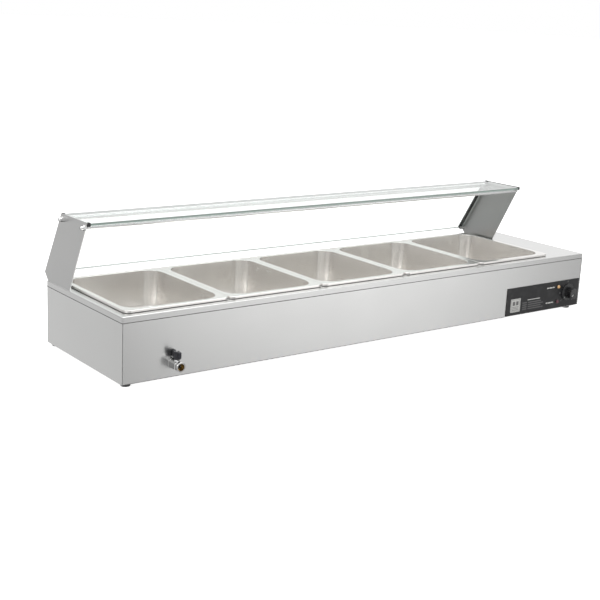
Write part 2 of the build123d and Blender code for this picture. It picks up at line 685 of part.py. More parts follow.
def valve_seats():
    """Two sealing rings, one on each side of the ball."""
    seats = []
    cup = Pos(*drain_point(BALL_Y)) * Sphere(BALL_RADIUS + RUNNING_GAP)
    for side in (-1, 1):
        near = drain_point(BALL_Y + side * 4.6)
        far = drain_point(BALL_Y + side * BALL_CAVITY_HALF)
        seats.append(rod(near, far, BALL_CAVITY_RADIUS) - rod(near, far, DRAIN_BORE_RADIUS) - cup)
    return seats


def valve_ball():
    """The bored ball, with a slot on top for the stem. It stands open."""
    ball = Pos(*drain_point(BALL_Y)) * Sphere(BALL_RADIUS)
    ball -= rod(drain_point(BALL_Y - 12), drain_point(BALL_Y + 12), DRAIN_BORE_RADIUS)
    slot_floor = DRAIN_Z + BALL_RADIUS - 2.2
    return ball - block(
        DRAIN_X - 1.2, DRAIN_X + 1.2, BALL_Y - 9, BALL_Y + 9, slot_floor, DRAIN_Z + 12
    )


def valve_stem():
    """The upright stem between the ball's slot and the handle."""
    foot_z = DRAIN_Z + BALL_RADIUS + 0.2
    stem = rod((DRAIN_X, BALL_Y, foot_z), (DRAIN_X, BALL_Y, HANDLE_HUB_TOP - 1.0), STEM_RADIUS)
    stem += block(
        DRAIN_X - 1.1, DRAIN_X + 1.1, BALL_Y - 2.6, BALL_Y + 2.6, foot_z - 2.3, foot_z + 0.5
    )
    return drill(stem, DRAIN_X, BALL_Y, foot_z + 1.5, HANDLE_HUB_TOP, 1.5)


def stem_packing():
    """The sealing ring round the stem, in the top of the boss."""
    ring = rod((DRAIN_X, BALL_Y, BOSS_TOP - 2.8), (DRAIN_X, BALL_Y, BOSS_TOP), 4.6)
    return drill(ring, DRAIN_X, BALL_Y, BOSS_TOP - 4, BOSS_TOP + 1, STEM_RADIUS + RUNNING_GAP)


def valve_handle():
    """A two-winged handle with grip ribs, standing in line with the open bore."""
    z0 = HANDLE_Z
    tip = HANDLE_REACH
    half = [(tip - 5, 0.8), (tip, 5.0), (tip, HANDLE_RISE - 2), (tip - 2, HANDLE_RISE)]
    half.append((HANDLE_HUB_RADIUS, HANDLE_HUB_TOP - z0))
    outline = [(BALL_Y + y, z0 + z) for y, z in half]
    outline += [(BALL_Y - y, z0 + z) for y, z in reversed(half)]
    wings = side_profile(outline, DRAIN_X - HANDLE_HALF, DRAIN_X + HANDLE_HALF)
    wings = fillet(wings.edges().filter_by(Axis.X, reverse=True), 1.0)
    handle = wings + rod((DRAIN_X, BALL_Y, z0), (DRAIN_X, BALL_Y, HANDLE_HUB_TOP), HANDLE_HUB_RADIUS)
    for side in (-1, 1):
        for step in range(2):
            y = BALL_Y + side * (tip - 2.5 - 2.8 * step)
            for x in (DRAIN_X - HANDLE_HALF, DRAIN_X + HANDLE_HALF):
                handle += rod((x, y, z0 + 5.0), (x, y, z0 + HANDLE_RISE - 3.5 - step * 0.6), 0.8)
    handle = drill(handle, DRAIN_X, BALL_Y, z0 - 1, HANDLE_HUB_TOP - 1.0, STEM_RADIUS)
    return drill(handle, DRAIN_X, BALL_Y, z0, HANDLE_HUB_TOP + 1, 1.6)


def handle_screw():
    """The screw that holds the handle on its stem."""
    screw = pan_head_screw(DRAIN_X, BALL_Y, HANDLE_HUB_TOP, 7.0, 1.5)
    top = HANDLE_HUB_TOP + 1.65
    cross = block(DRAIN_X - 1.6, DRAIN_X + 1.6, BALL_Y - 0.3, BALL_Y + 0.3, top - 0.8, top + 1)
    cross += block(DRAIN_X - 0.3, DRAIN_X + 0.3, BALL_Y - 1.6, BALL_Y + 1.6, top - 0.8, top + 1)
    return screw - cross


# ---------------------------------------------------------------- controls


def control_panel():
    """The dark face plate of the controls, laid on the front sheet."""
    outline = RectangleRounded(PANEL_X1 - PANEL_X0, PANEL_Z1 - PANEL_Z0, 2.0)
    centre = ((PANEL_X0 + PANEL_X1) / 2, 0, (PANEL_Z0 + PANEL_Z1) / 2)
    face = Plane(origin=centre, x_dir=(1, 0, 0), z_dir=(0, -1, 0))
    plate = extrude(face * outline, PANEL_THICK)
    plate = fillet(plate.faces().sort_by(Axis.Y)[0].edges(), 0.4)
    plate -= rod((KNOB_X, -5, KNOB_Z), (KNOB_X, 5, KNOB_Z), SPINDLE_HOLE)
    for z in LAMP_HEIGHTS:
        plate -= rod((LAMP_X, -5, z), (LAMP_X, 5, z), LAMP_BARREL_RADIUS)
    for side in (-1, 1):
        x = KNOB_X + side * THERMOSTAT_SCREW_SPREAD
        plate -= rod((x, -5, KNOB_Z), (x, 5, KNOB_Z), THERMOSTAT_HEAD)
    return plate


def thermostat_screws():
    """Two flat-headed screws under the knob that hold the thermostat."""
    screws = []
    for side in (-1, 1):
        x = KNOB_X + side * THERMOSTAT_SCREW_SPREAD
        head = rod((x, -PANEL_THICK + 0.1, KNOB_Z), (x, 0, KNOB_Z), THERMOSTAT_HEAD)
        screws.append(head + rod((x, 0, KNOB_Z), (x, 9.0, KNOB_Z), SMALL_SCREW))
    return screws


def thermostat_body():
    """The capillary thermostat behind the front sheet, with two wire tabs at its back."""
    case = block(KNOB_X - 20, KNOB_X + 20, SHEET, 38.0, KNOB_Z - 17, KNOB_Z + 17)
    case = fillet(case.edges().filter_by(Axis.Y), 2.0)
    case -= rod((KNOB_X, 0, KNOB_Z), (KNOB_X, 14, KNOB_Z), SHAFT_RADIUS + RUNNING_GAP)
    for side in (-1, 1):
        x = KNOB_X + side * THERMOSTAT_SCREW_SPREAD
        case -= rod((x, 0, KNOB_Z), (x, 10, KNOB_Z), SMALL_SCREW)
        tab_x = KNOB_X + side * 10
        case += block(tab_x - 3.0, tab_x + 3.0, 38.0, 45.0, KNOB_Z - 10.4, KNOB_Z - 9.6)
    return case


def knob_shaft():
    """The thermostat's spindle, which turns with the knob."""
    shaft = rod((KNOB_X, 13.0, KNOB_Z), (KNOB_X, KNOB_FRONT_Y + 6, KNOB_Z), SHAFT_RADIUS)
    flat_start = KNOB_BACK_Y
    return shaft - block(
        KNOB_X - 5, KNOB_X + 5, KNOB_FRONT_Y, flat_start, KNOB_Z + 2.0, KNOB_Z + 5
    )


def control_knob():
    """A fluted knob on a wide dial skirt, with a groove for its pointer."""
    skirt = rod((KNOB_X, KNOB_BACK_Y, KNOB_Z), (KNOB_X, KNOB_SKIRT_Y, KNOB_Z), KNOB_SKIRT_RADIUS)
    front_rim = skirt.edges().filter_by_position(Axis.Y, KNOB_SKIRT_Y - 0.01, KNOB_SKIRT_Y + 0.01)
    skirt = chamfer(front_rim, 1.6)
    grip = rod((KNOB_X, KNOB_SKIRT_Y, KNOB_Z), (KNOB_X, KNOB_FRONT_Y, KNOB_Z), KNOB_GRIP_RADIUS)
    face_rim = grip.edges().filter_by_position(Axis.Y, KNOB_FRONT_Y - 0.01, KNOB_FRONT_Y + 0.01)
    grip = fillet(face_rim, 1.8)
    flutes = 14
    for flute in range(flutes):
        turn = 2 * math.pi * (flute + 0.5) / flutes
        x = KNOB_X + (KNOB_GRIP_RADIUS + 1.6) * math.cos(turn)
        z = KNOB_Z + (KNOB_GRIP_RADIUS + 1.6) * math.sin(turn)
        grip -= rod((x, KNOB_SKIRT_Y - 2.0, z), (x, KNOB_FRONT_Y - 1, z), 2.6)
    knob = skirt + grip
    groove_y = KNOB_FRONT_Y + 0.8
    knob -= block(
        KNOB_X - 1.3, KNOB_X + 1.3, KNOB_FRONT_Y - 1, groove_y, KNOB_Z + 3, KNOB_Z + 20
    )
    return knob - knob_shaft() - rod((KNOB_X, 0, KNOB_Z), (KNOB_X, KNOB_BACK_Y, KNOB_Z), 4)


def turned_off(shape):
    """A knob piece turned to its off position: KNOB_REST clockwise from upright."""
    axis = Pos(KNOB_X, 0, KNOB_Z)
    return axis * Rot(0, KNOB_REST, 0) * axis.inverse() * shape


def lamp(z):
    """One pilot lamp: a domed lens and its barrel through the panel."""
    lens_y = -PANEL_THICK - 1.2
    barrel = rod((LAMP_X, lens_y, z), (LAMP_X, 26.0, z), LAMP_BARREL_RADIUS)
    lens = rod((LAMP_X, lens_y, z), (LAMP_X, lens_y - 3.2, z), LAMP_LENS_RADIUS)
    face = lens.edges().filter_by_position(Axis.Y, lens_y - 3.21, lens_y - 3.19)
    return barrel + fillet(face, 2.4)


def lamp_bezels():
    """Two thin rings between the lenses and the panel."""
    rings = []
    for z in LAMP_HEIGHTS:
        front = -PANEL_THICK - 1.2
        ring = rod((LAMP_X, -PANEL_THICK, z), (LAMP_X, front, z), LAMP_BEZEL_RADIUS)
        rings.append(ring - rod((LAMP_X, 1, z), (LAMP_X, front - 1, z), LAMP_BARREL_RADIUS))
    return rings


def lamp_nuts():
    """Two spring nuts that hold the lamps from behind."""
    nuts = []
    for z in LAMP_HEIGHTS:
        nut = hex_bar((LAMP_X, SHEET, z), (LAMP_X, SHEET + 3.5, z), 13.0)
        nuts.append(nut - rod((LAMP_X, 0, z), (LAMP_X, 8, z), LAMP_BARREL_RADIUS))
    return nuts


# ---------------------------------------------------------------- heating and wiring


def element_axis(x, y):
    """A point on one leg of the element."""
    return (x, y, ELEMENT_Z)


def heating_element():
    """A long hairpin heater under the pans. Its two ends leave through the tank's right wall."""
    front, back = ELEMENT_Y
    end = WELL_X1 + 14.0
    path = [(end, front), (ELEMENT_LEFT_X, front), (ELEMENT_LEFT_X, back), (end, back)]
    element = pipe([element_axis(x, y) for x, y in path], ELEMENT_RADIUS, 30.0)
    for y in ELEMENT_Y:
        element += rod(element_axis(WELL_X1 - 4, y), element_axis(end, y), ELEMENT_BUSH_RADIUS)
        element += rod(element_axis(WELL_X1 - 5, y), element_axis(WELL_X1 - 2, y), 9.5)
        element += rod(element_axis(end, y), element_axis(end + 16, y), 2.0)
    return element


def element_gaskets():
    """Two sealing rings inside the tank's right wall."""
    rings = []
    for y in ELEMENT_Y:
        ring = rod(element_axis(WELL_X1 - 2, y), element_axis(WELL_X1, y), 9.5)
        hole = rod(element_axis(WELL_X1 - 3, y), element_axis(WELL_X1 + 1, y), ELEMENT_BUSH_RADIUS)
        rings.append(ring - hole)
    return rings


def element_nuts():
    """Two nuts on the element's bushes, outside the tank."""
    nuts = []
    seat = WELL_X1 + TANK_SHEET
    for y in ELEMENT_Y:
        nut = hex_bar(element_axis(seat, y), element_axis(seat + 6, y), 19.0)
        hole = rod(element_axis(seat - 1, y), element_axis(seat + 8, y), ELEMENT_BUSH_RADIUS)
        nuts.append(nut - hole)
    return nuts


def element_clips():
    """Three cross strips on the tank floor that hold both legs of the element."""
    floor = TANK_FLOOR + TANK_SHEET
    clips = []
    for x in ELEMENT_CLIP_X:
        clip = block(x - 7, x + 7, ELEMENT_Y[0] - 16, ELEMENT_Y[1] + 16, floor, floor + 1.5)
        for y in ELEMENT_Y:
            clip += block(x - 5, x + 5, y - 7, y + 7, floor + 1.5, ELEMENT_Z + 6.5)
            clip -= rod(element_axis(x - 8, y), element_axis(x + 8, y), ELEMENT_RADIUS)
        clips.append(clip)
    return clips


def capillary_gland():
    """The sealed bush where the capillary passes the tank wall."""
    x = WELL_X1
    bush = rod((x - 3, BULB_Y, BULB_Z), (x + TANK_SHEET, BULB_Y, BULB_Z), 5.0)
    bush += hex_bar((x + TANK_SHEET, BULB_Y, BULB_Z), (x + 7, BULB_Y, BULB_Z), 14.0)
    return bush - rod((x - 5, BULB_Y, BULB_Z), (x + 9, BULB_Y, BULB_Z), 1.0)


def thermostat_bulb():
    """The sensing bulb, low in the tank, and its thin copper tube to the thermostat."""
    x = WELL_X1
    bulb = rod((x - 112, BULB_Y, BULB_Z), (x - 22, BULB_Y, BULB_Z), 3.5)
    bulb = fillet(bulb.edges().filter_by(GeomType.CIRCLE), 1.2)
    turn_x = x + 24.5
    height = KNOB_Z + 12
    points = [(x - 30, BULB_Y, BULB_Z), (turn_x, BULB_Y, BULB_Z), (turn_x, BULB_Y, height)]
    points += [(KNOB_X, BULB_Y, height), (KNOB_X, 38.0, height)]
    return bulb + pipe(points, 1.0, 6.0)


def limit_thermostat():
    """The snap-disc cut-out on the tank's right wall, with its two tabs."""
    y, z = 182.0, LIMIT_Z
    x = WELL_X1 + TANK_SHEET
    disc = rod((x, y, z), (x + 3.0, y, z), 10.0) + rod((x + 3.0, y, z), (x + 11.0, y, z), 8.0)
    for side in (-1, 1):
        disc += block(x + 11, x + 18, y + side * 4 - 0.4, y + side * 4 + 0.4, z - 3, z + 3)
    return disc


def terminal_block():
    """A six-way terminal block on the base plate, open for a wire at each end of a way."""
    y0, y1 = BLOCK_Y
    body = block(BLOCK_WAYS[0] - 7, BLOCK_WAYS[-1] + 7, y0, y1, BASE_TOP, BLOCK_TOP)
    for x in BLOCK_WAYS:
        body -= rod((x, y0 - 1, WIRE_Z), (x, y0 + 5, WIRE_Z), WIRE_RADIUS)
        body -= rod((x, y1 + 1, WIRE_Z), (x, y1 - 5, WIRE_Z), WIRE_RADIUS)
        body = drill(body, x, (y0 + y1) / 2, BLOCK_TOP - 3.0, BLOCK_TOP + 1.0, 2.2)
    return body


def earth_stud():
    """The brass earth stud, with its nut, on the base plate."""
    x, y = BLOCK_WAYS[-1], BLOCK_Y[1] + 62
    nut = hex_bar((x, y, BASE_TOP), (x, y, BASE_TOP + 4.5), 9.0)
    return nut + rod((x, y, BASE_TOP), (x, y, STUD_TOP), 2.5)


def wiring():
    """Single wires: three cores from the cord, and the runs to heater, lamps and controls."""
    front, back = BLOCK_Y
    ways = BLOCK_WAYS
    tab_z = KNOB_Z - 10
    terminal_x = WELL_X1 + 14.0 + 16.0
    runs = []
    for core, way in enumerate(ways[1:4]):
        x = CORD_X - 2.8 + 2.8 * core
        runs.append([
            (x, 345, CORD_Z), (x, 318, CORD_Z), (way, 262, WIRE_Z), (way, back - 5, WIRE_Z),
        ])
    runs.append([
        (ways[1], front + 5, WIRE_Z), (ways[1], 146, WIRE_Z),
        (terminal_x + 12, ELEMENT_Y[0], ELEMENT_Z), (terminal_x, ELEMENT_Y[0], ELEMENT_Z),
    ])
    runs.append([
        (ways[4], back - 5, WIRE_Z), (ways[4], 224, WIRE_Z),
        (terminal_x + 30, ELEMENT_Y[1], ELEMENT_Z), (terminal_x, ELEMENT_Y[1], ELEMENT_Z),
    ])
    for side, way in ((-1, ways[2]), (1, ways[3])):
        x = KNOB_X + 10 * side
        runs.append([(x, 45, tab_z), (x, 84, tab_z), (way, 142, WIRE_Z), (way, front + 5, WIRE_Z)])
    upper, lower = LAMP_HEIGHTS
    runs.append([
        (LAMP_X, 26, upper), (LAMP_X, 100, upper), (ways[4], 142, WIRE_Z + 16),
        (ways[4], 160, WIRE_Z), (ways[4], front + 5, WIRE_Z),
    ])
    runs.append([
        (LAMP_X, 26, lower), (LAMP_X, 100, lower), (ways[0], 146, WIRE_Z),
        (ways[0], front + 5, WIRE_Z),
    ])
    stud_y = back + 62
    earth = ways[5]
    runs.append([
        (earth, back - 5, WIRE_Z), (earth, back + 30, WIRE_Z), (earth, stud_y - 2.6, WIRE_Z + 2),
    ])
    return [pipe(points, WIRE_RADIUS, 5.0) for points in runs]


# ---------------------------------------------------------------- cord and plug


def cable_gland():
    """The strain relief where the cord enters the back of the casing."""
    flange = rod((CORD_X, DEPTH, CORD_Z), (CORD_X, DEPTH + 4, CORD_Z), 12.0)
    neck = rod((CORD_X, DEPTH + 4, CORD_Z), (CORD_X, DEPTH + 8, CORD_Z), 7.5)
    barrel = rod((CORD_X, DEPTH - 12, CORD_Z), (CORD_X, DEPTH, CORD_Z), GLAND_RADIUS)
    whole = flange + neck + barrel
    return whole - rod((CORD_X, DEPTH - 20, CORD_Z), (CORD_X, DEPTH + 20, CORD_Z), CORD_RADIUS)


def gland_nut():
    """The nut on the strain relief, inside the back sheet."""
    seat = DEPTH - SHEET
    nut = hex_bar((CORD_X, seat, CORD_Z), (CORD_X, seat - 5, CORD_Z), 22.0)
    return nut - rod((CORD_X, seat + 1, CORD_Z), (CORD_X, seat - 7, CORD_Z), GLAND_RADIUS)


def cord_path():
    """Corner points of the cord: from the gland, round the bundle, and out to the plug."""
    points = [(CORD_X, 345.0, CORD_Z), (CORD_X, BUNDLE_Y1, CORD_Z)]
    top = CORD_RADIUS + BUNDLE_RISE * BUNDLE_TURNS
    points.append((BUNDLE_X1 + 70, BUNDLE_Y1, top))
    for turn in range(BUNDLE_TURNS):
        z = top - BUNDLE_RISE * turn
        points += [(BUNDLE_X0, BUNDLE_Y1, z), (BUNDLE_X0, BUNDLE_Y0, z)]
        lower = z - BUNDLE_RISE
        points += [(BUNDLE_X1, BUNDLE_Y0, lower), (BUNDLE_X1, BUNDLE_Y1, lower)]
    points.append((BUNDLE_X0 - 20, BUNDLE_Y1, CORD_RADIUS))
    points.append((BUNDLE_X0 - 60, BUNDLE_Y1 - 8, PLUG_Z))
    points.append((BUNDLE_X0 - 92, BUNDLE_Y1 - 8, PLUG_Z))
    return points


def power_cord():
    """The round mains cord, tied in a flat bundle."""
    return pipe(cord_path(), CORD_RADIUS, BUNDLE_BEND)


def cord_tie():
    """A strap round the middle of the bundle."""
    x = (BUNDLE_X0 + BUNDLE_X1) / 2
    gap = 0.4
    top = 2 * CORD_RADIUS + BUNDLE_RISE * BUNDLE_TURNS + gap
    r = CORD_RADIUS + gap
    inner = block(x - 6, x + 6, BUNDLE_Y0 - r, BUNDLE_Y1 + r, -1, top)
    outer = block(x - 5, x + 5, BUNDLE_Y0 - r - 1.2, BUNDLE_Y1 + r + 1.2, 0, top + 1.2)
    return fillet(outer.edges().filter_by(Axis.X), 2.0) - inner


def plug_axis():
    """Where the plug starts, and the height and depth of its axis."""
    return BUNDLE_X0 - 92, BUNDLE_Y1 - 8, PLUG_Z


def plug_body():
    """A moulded plug with a tapered grip and a ribbed cord relief."""
    x, y, z = plug_axis()
    head = block(x - 40, x - 14, y - 13, y + 13, z - 13, z + 13)
    head = fillet(head.edges().filter_by(Axis.X), 8.0)
    head = fillet(head.faces().sort_by(Axis.X)[-1].edges(), 4.0)
    relief = Plane(origin=(x - 16, y, z), z_dir=(1, 0, 0)) * Cone(
        9.0, 5.6, 36.0, align=(Align.CENTER, Align.CENTER, Align.MIN)
    )
    plug = head + relief
    for rib in range(4):
        rib_x = x - 4 + 5.5 * rib
        plug += rod((rib_x, y, z), (rib_x + 2.2, y, z), 8.4 - 0.55 * rib)
    for cut in plug_pin_shapes():
        plug -= cut
    return plug - rod((x, y, z), (x + 40, y, z), CORD_RADIUS)


def plug_pin_shapes():
    """Two flat blades and one round earth pin."""
    x, y, z = plug_axis()
    pins = []
    for side in (-1, 1):
        blade_y = y + side * 6.35
        pins.append(block(x - 57, x - 34, blade_y - 0.75, blade_y + 0.75, z - 0.5, z + 5.8))
    pins.append(rod((x - 59, y, z - 7.0), (x - 34, y, z - 7.0), 2.4))
    return pins


# ---------------------------------------------------------------- every piece by name

PIECES = {
    "body_shell": body_shell,
    "front_panel": front_panel,
    "base_plate": base_plate,
    "sheet_screws": sheet_screws,
    "rubber_feet": rubber_feet,
    "foot_screws": foot_screws,
    "hex_nuts": hex_nuts,
    "top_deck": top_deck,
    "water_tank": water_tank,
    "guard_bracket_left": lambda: guard_bracket(LEFT_PLATE_X, 1),
    "guard_bracket_right": lambda: guard_bracket(RIGHT_PLATE_X, -1),
    "bracket_screws": bracket_screws,
    "front_tie_rod": lambda: tie_rod(FRONT_ROD_Y),
    "rear_tie_rod": lambda: tie_rod(REAR_ROD_Y),
    "guard_cap_nuts": cap_nuts,
    "top_glass": top_glass,
    "glass_corner_pads": glass_corner_pads,
    "rear_glass": rear_glass,
    "rear_glass_strips": rear_glass_strips,
    "drain_fitting": drain_fitting,
    "drain_gasket": drain_gasket,
    "drain_lock_nut": drain_lock_nut,
    "valve_body": valve_body,
    "valve_outlet": valve_outlet,
    "valve_seats": valve_seats,
    "valve_ball": valve_ball,
    "valve_stem": valve_stem,
    "stem_packing": stem_packing,
    "valve_handle": valve_handle,
    "handle_screw": handle_screw,
    "control_panel": control_panel,
    "thermostat_screws": thermostat_screws,
    "thermostat_body": thermostat_body,
    "knob_shaft": lambda: turned_off(knob_shaft()),
    "control_knob": lambda: turned_off(control_knob()),
    "power_lamp": lambda: lamp(LAMP_HEIGHTS[0]),
    "heating_lamp": lambda: lamp(LAMP_HEIGHTS[1]),
    "lamp_bezels": lamp_bezels,
    "lamp_nuts": lamp_nuts,
    "heating_element": heating_element,
    "element_gaskets": element_gaskets,
    "element_nuts": element_nuts,
    "element_clips": element_clips,
    "thermostat_bulb": thermostat_bulb,
    "capillary_gland": capillary_gland,
    "limit_thermostat": limit_thermostat,
    "terminal_block": terminal_block,
    "earth_stud": earth_stud,
    "wiring": wiring,
    "cable_gland": cable_gland,
    "gland_nut": gland_nut,
    "power_cord": power_cord,
    "cord_tie": cord_tie,
    "plug_body": plug_body,
    "plug_pins": plug_pin_shapes,
}


def export(name, made):
    """Writes one node, whose solids are moved so that the origin is the footprint's centre."""
    pieces = made if isinstance(made, list) else [made]
    solids = [solid.moved(Location(ORIGIN_SHIFT)) for piece in pieces for solid in piece.solids()]
    shape = solids[0] if len(solids) == 1 else Compound(solids)
    shape.label = name
    export_step(shape, os.path.join("parts", name + ".step"))


os.makedirs("parts", exist_ok=True)
for piece_name, make in PIECES.items():
    export(piece_name, make())
for number in range(PAN_COUNT):
    export(f"pan_{number + 1}", pan(number))
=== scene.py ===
import math

import bmesh
import bpy
from mathutils import Matrix, Vector


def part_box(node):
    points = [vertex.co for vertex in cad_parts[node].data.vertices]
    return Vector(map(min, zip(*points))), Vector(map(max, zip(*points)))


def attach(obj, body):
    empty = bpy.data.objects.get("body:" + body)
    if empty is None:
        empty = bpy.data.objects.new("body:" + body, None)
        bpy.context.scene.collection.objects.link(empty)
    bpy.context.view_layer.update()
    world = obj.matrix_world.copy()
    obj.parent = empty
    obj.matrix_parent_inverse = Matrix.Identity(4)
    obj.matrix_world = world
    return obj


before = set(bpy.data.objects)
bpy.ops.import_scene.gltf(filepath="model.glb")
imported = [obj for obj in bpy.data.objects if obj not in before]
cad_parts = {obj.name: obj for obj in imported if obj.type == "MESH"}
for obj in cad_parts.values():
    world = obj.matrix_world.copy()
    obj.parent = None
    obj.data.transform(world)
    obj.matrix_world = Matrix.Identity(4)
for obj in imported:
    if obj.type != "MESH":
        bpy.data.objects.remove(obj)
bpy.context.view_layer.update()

MM = 0.001
STEEL_TINT = (1.0, 1.0, 0.99)
PAINTED_DARK_REFLECTION = (0.03, 0.03, 0.03, 1.0)


# ------------------------------------------------------------- node materials


class Shader:
    """The node tree of a material or a world, with a short way to add and join nodes."""

    def __init__(self, owner):
        self.owner = owner
        owner.use_nodes = True
        self.tree = owner.node_tree
        self.tree.nodes.clear()
        coords = self.tree.nodes.new("ShaderNodeTexCoord")
        self.way = coords.outputs["Generated"]
        self.place = coords.outputs["Object"]
        self.normal = coords.outputs["Normal"]

    def join(self, value, socket):
        if isinstance(value, bpy.types.NodeSocket):
            self.tree.links.new(value, socket)
        elif value is not None:
            socket.default_value = value

    def add(self, kind, *values, out=0, **named):
        """A node: values fill its first inputs, names set either inputs or properties."""
        made = self.tree.nodes.new("ShaderNode" + kind)
        sockets = {s.name.lower().replace(" ", "_"): s for s in reversed(made.inputs)}
        for key, value in named.items():
            if key not in sockets:
                setattr(made, key, value)
        for key, value in named.items():
            if key in sockets:
                self.join(value, sockets[key])
        for socket, value in zip(made.inputs, values):
            self.join(value, socket)
        return made.outputs[out]

    def math(self, operation, *values):
        return self.add("Math", *values, operation=operation)

    def mix(self, share, a, b):
        """A blend of two colours."""
        made = self.tree.nodes.new("ShaderNodeMix")
        made.data_type = "RGBA"
        for index, value in ((0, share), (6, a), (7, b)):
            self.join(value, made.inputs[index])
        return made.outputs[2]

    def span(self, value, low, high, to_low=0.0, to_high=1.0):
        """A value moved from one range to another and held inside it."""
        return self.add("MapRange", value, low, high, to_low, to_high)

    def stretch(self, scale, turn=(0, 0, 0)):
        """Object coordinates scaled per axis, in features per metre."""
        return self.add("Mapping", self.place, rotation=turn, scale=scale)

    def noise(self, vector, scale=1.0, detail=2.0, roughness=0.5):
        return self.add("TexNoise", vector=vector, scale=scale, detail=detail, roughness=roughness)

    def axis(self, vector, index):
        return self.add("SeparateXYZ", vector, out=index)

    def side_faces(self):
        """1 on faces that look along x, 0 elsewhere."""
        return self.span(self.math("ABSOLUTE", self.axis(self.normal, 0)), 0.6, 0.8)

    def brush_tangent(self, lines, side_lines):
        """The direction across the brushing lines, in which the metal is rougher."""
        ways = [tuple(1.0 if i == axis else 0.0 for i in range(3)) for axis in (lines, side_lines)]
        face = self.add("NewGeometry", out=1)
        across = [self.add("VectorMath", face, way, operation="CROSS_PRODUCT") for way in ways]
        return self.mix(self.side_faces(), across[0], across[1])

    def rim(self, strength):
        """Grows from 0 to strength where the surface turns away from the eye."""
        return self.span(self.add("LayerWeight", 0.5, out=1), 0.38, 0.58, 0.0, strength)

    def bump(self, height, distance, strength):
        return self.add("Bump", strength=strength, distance=distance, height=height)

    def finish(self, **named):
        """A principled surface as the output."""
        surface = self.add("BsdfPrincipled", **named)
        return self.output(surface)

    def output(self, surface, kind="Material"):
        """Joins the last shader to the output and gives back the material or world."""
        self.tree.links.new(surface, self.tree.nodes.new("ShaderNodeOutput" + kind).inputs[0])
        return self.owner


def new_material(name):
    return Shader(bpy.data.materials.new(name))


def grey(level, tint=(1.0, 1.0, 1.0)):
    return tuple(level * t for t in tint) + (1.0,)


def painted_fold_shade(s, shade, skirt):
    """Paints shade on a sheet below the height skirt, where it folds down: most on the bend, less on the
    drop.
    """
    bend = s.span(s.axis(s.normal, 2), 0.1, 0.3, 0.9, 0.6)
    fold = s.span(s.axis(s.place, 2), skirt - 0.4 * MM, skirt, 1.0, 0.0)
    darker = s.math("MULTIPLY", fold, s.math("SUBTRACT", bend, 1.0))
    return s.math("MULTIPLY", shade, s.math("ADD", 1.0, darker))


def brushed(name, tone, rough, lines=0, side_lines=1, skirt=None):
    """Brushed stainless sheet. Lines run along one axis, and along another on x-facing sides.

    A worktop has a skirt: the height below which its sheet folds down and is given painted shade."""
    s = new_material(name)

    def streaks(across, along, detail):
        ways = []
        for axis in (lines, side_lines):
            scale = [across] * 3
            scale[axis] = along
            ways.append(s.noise(s.stretch(scale), detail=detail, roughness=0.6))
        return s.mix(s.side_faces(), ways[0], ways[1])

    fine = streaks(2600.0, 14.0, 3.0)
    broad = streaks(170.0, 1.6, 3.0)
    smudge = s.noise(s.stretch((5.0, 5.0, 7.0)), detail=4.0, roughness=0.55)
    scratch = s.noise(s.stretch((26.0, 1900.0, 1900.0), (0.0, 0.35, 0.5)), detail=1.0)
    scratch = s.span(scratch, 0.735, 0.77)
    shade = s.math("ADD", s.span(fine, 0.3, 0.7, 0.985, 1.015), s.span(broad, 0.3, 0.7, -0.003, 0.003))
    shade = s.math("ADD", shade, s.span(smudge, 0.35, 0.7, 0.005, -0.01))
    shade = s.math("SUBTRACT", shade, s.math("MULTIPLY", scratch, 0.06))
    # painted shade: the folded-down skirt, and most of all its bend, is darkened in the colour
    if skirt is not None:
        shade = painted_fold_shade(s, shade, skirt)
    colour = s.add("VectorMath", grey(tone, STEEL_TINT)[:3], shade, operation="MULTIPLY")
    wear = s.math("ADD", s.span(fine, 0.25, 0.75, -0.01, 0.015), s.span(smudge, 0.35, 0.7, 0.0, 0.02))
    height = s.math("SUBTRACT", fine, scratch)
    across = s.brush_tangent(lines, side_lines)
    return s.finish(
        base_color=colour, metallic=1.0, roughness=s.math("ADD", wear, rough), anisotropic=0.55,
        tangent=across, normal=s.bump(height, 0.00002, 0.07),
    )


def satin(name, tone, rough, tint=(1.0, 0.98, 0.955), spots=900.0):
    """Drawn or rolled stainless: an even fine grain with faint stains and rubbed patches."""
    s = new_material(name)
    grain = s.noise(s.stretch((spots,) * 3), detail=3.0)
    stain = s.noise(s.stretch((16.0, 16.0, 24.0)), detail=5.0, roughness=0.6)
    drawn = s.noise(s.stretch((60.0, 60.0, 4.0)), detail=2.0)
    rub = s.noise(s.stretch((900.0, 40.0, 700.0), (0.2, 0.1, 0.9)), detail=2.0)
    shade = s.math("ADD", s.span(grain, 0.3, 0.7, 0.985, 1.015), s.span(stain, 0.4, 0.75, 0.01, -0.02))
    shade = s.math("ADD", shade, s.span(drawn, 0.3, 0.7, -0.012, 0.012))
    colour = s.add("VectorMath", grey(tone, tint)[:3], shade, operation="MULTIPLY")
    wear = s.math("ADD", s.span(stain, 0.4, 0.75, -0.01, 0.04), s.span(rub, 0.35, 0.7, -0.02, 0.03))
    height = s.math("ADD", grain, s.math("MULTIPLY", rub, 0.7))
    return s.finish(
        base_color=colour, metallic=1.0, roughness=s.math("ADD", wear, rough),
        normal=s.bump(height, 0.00002, 0.15),
    )


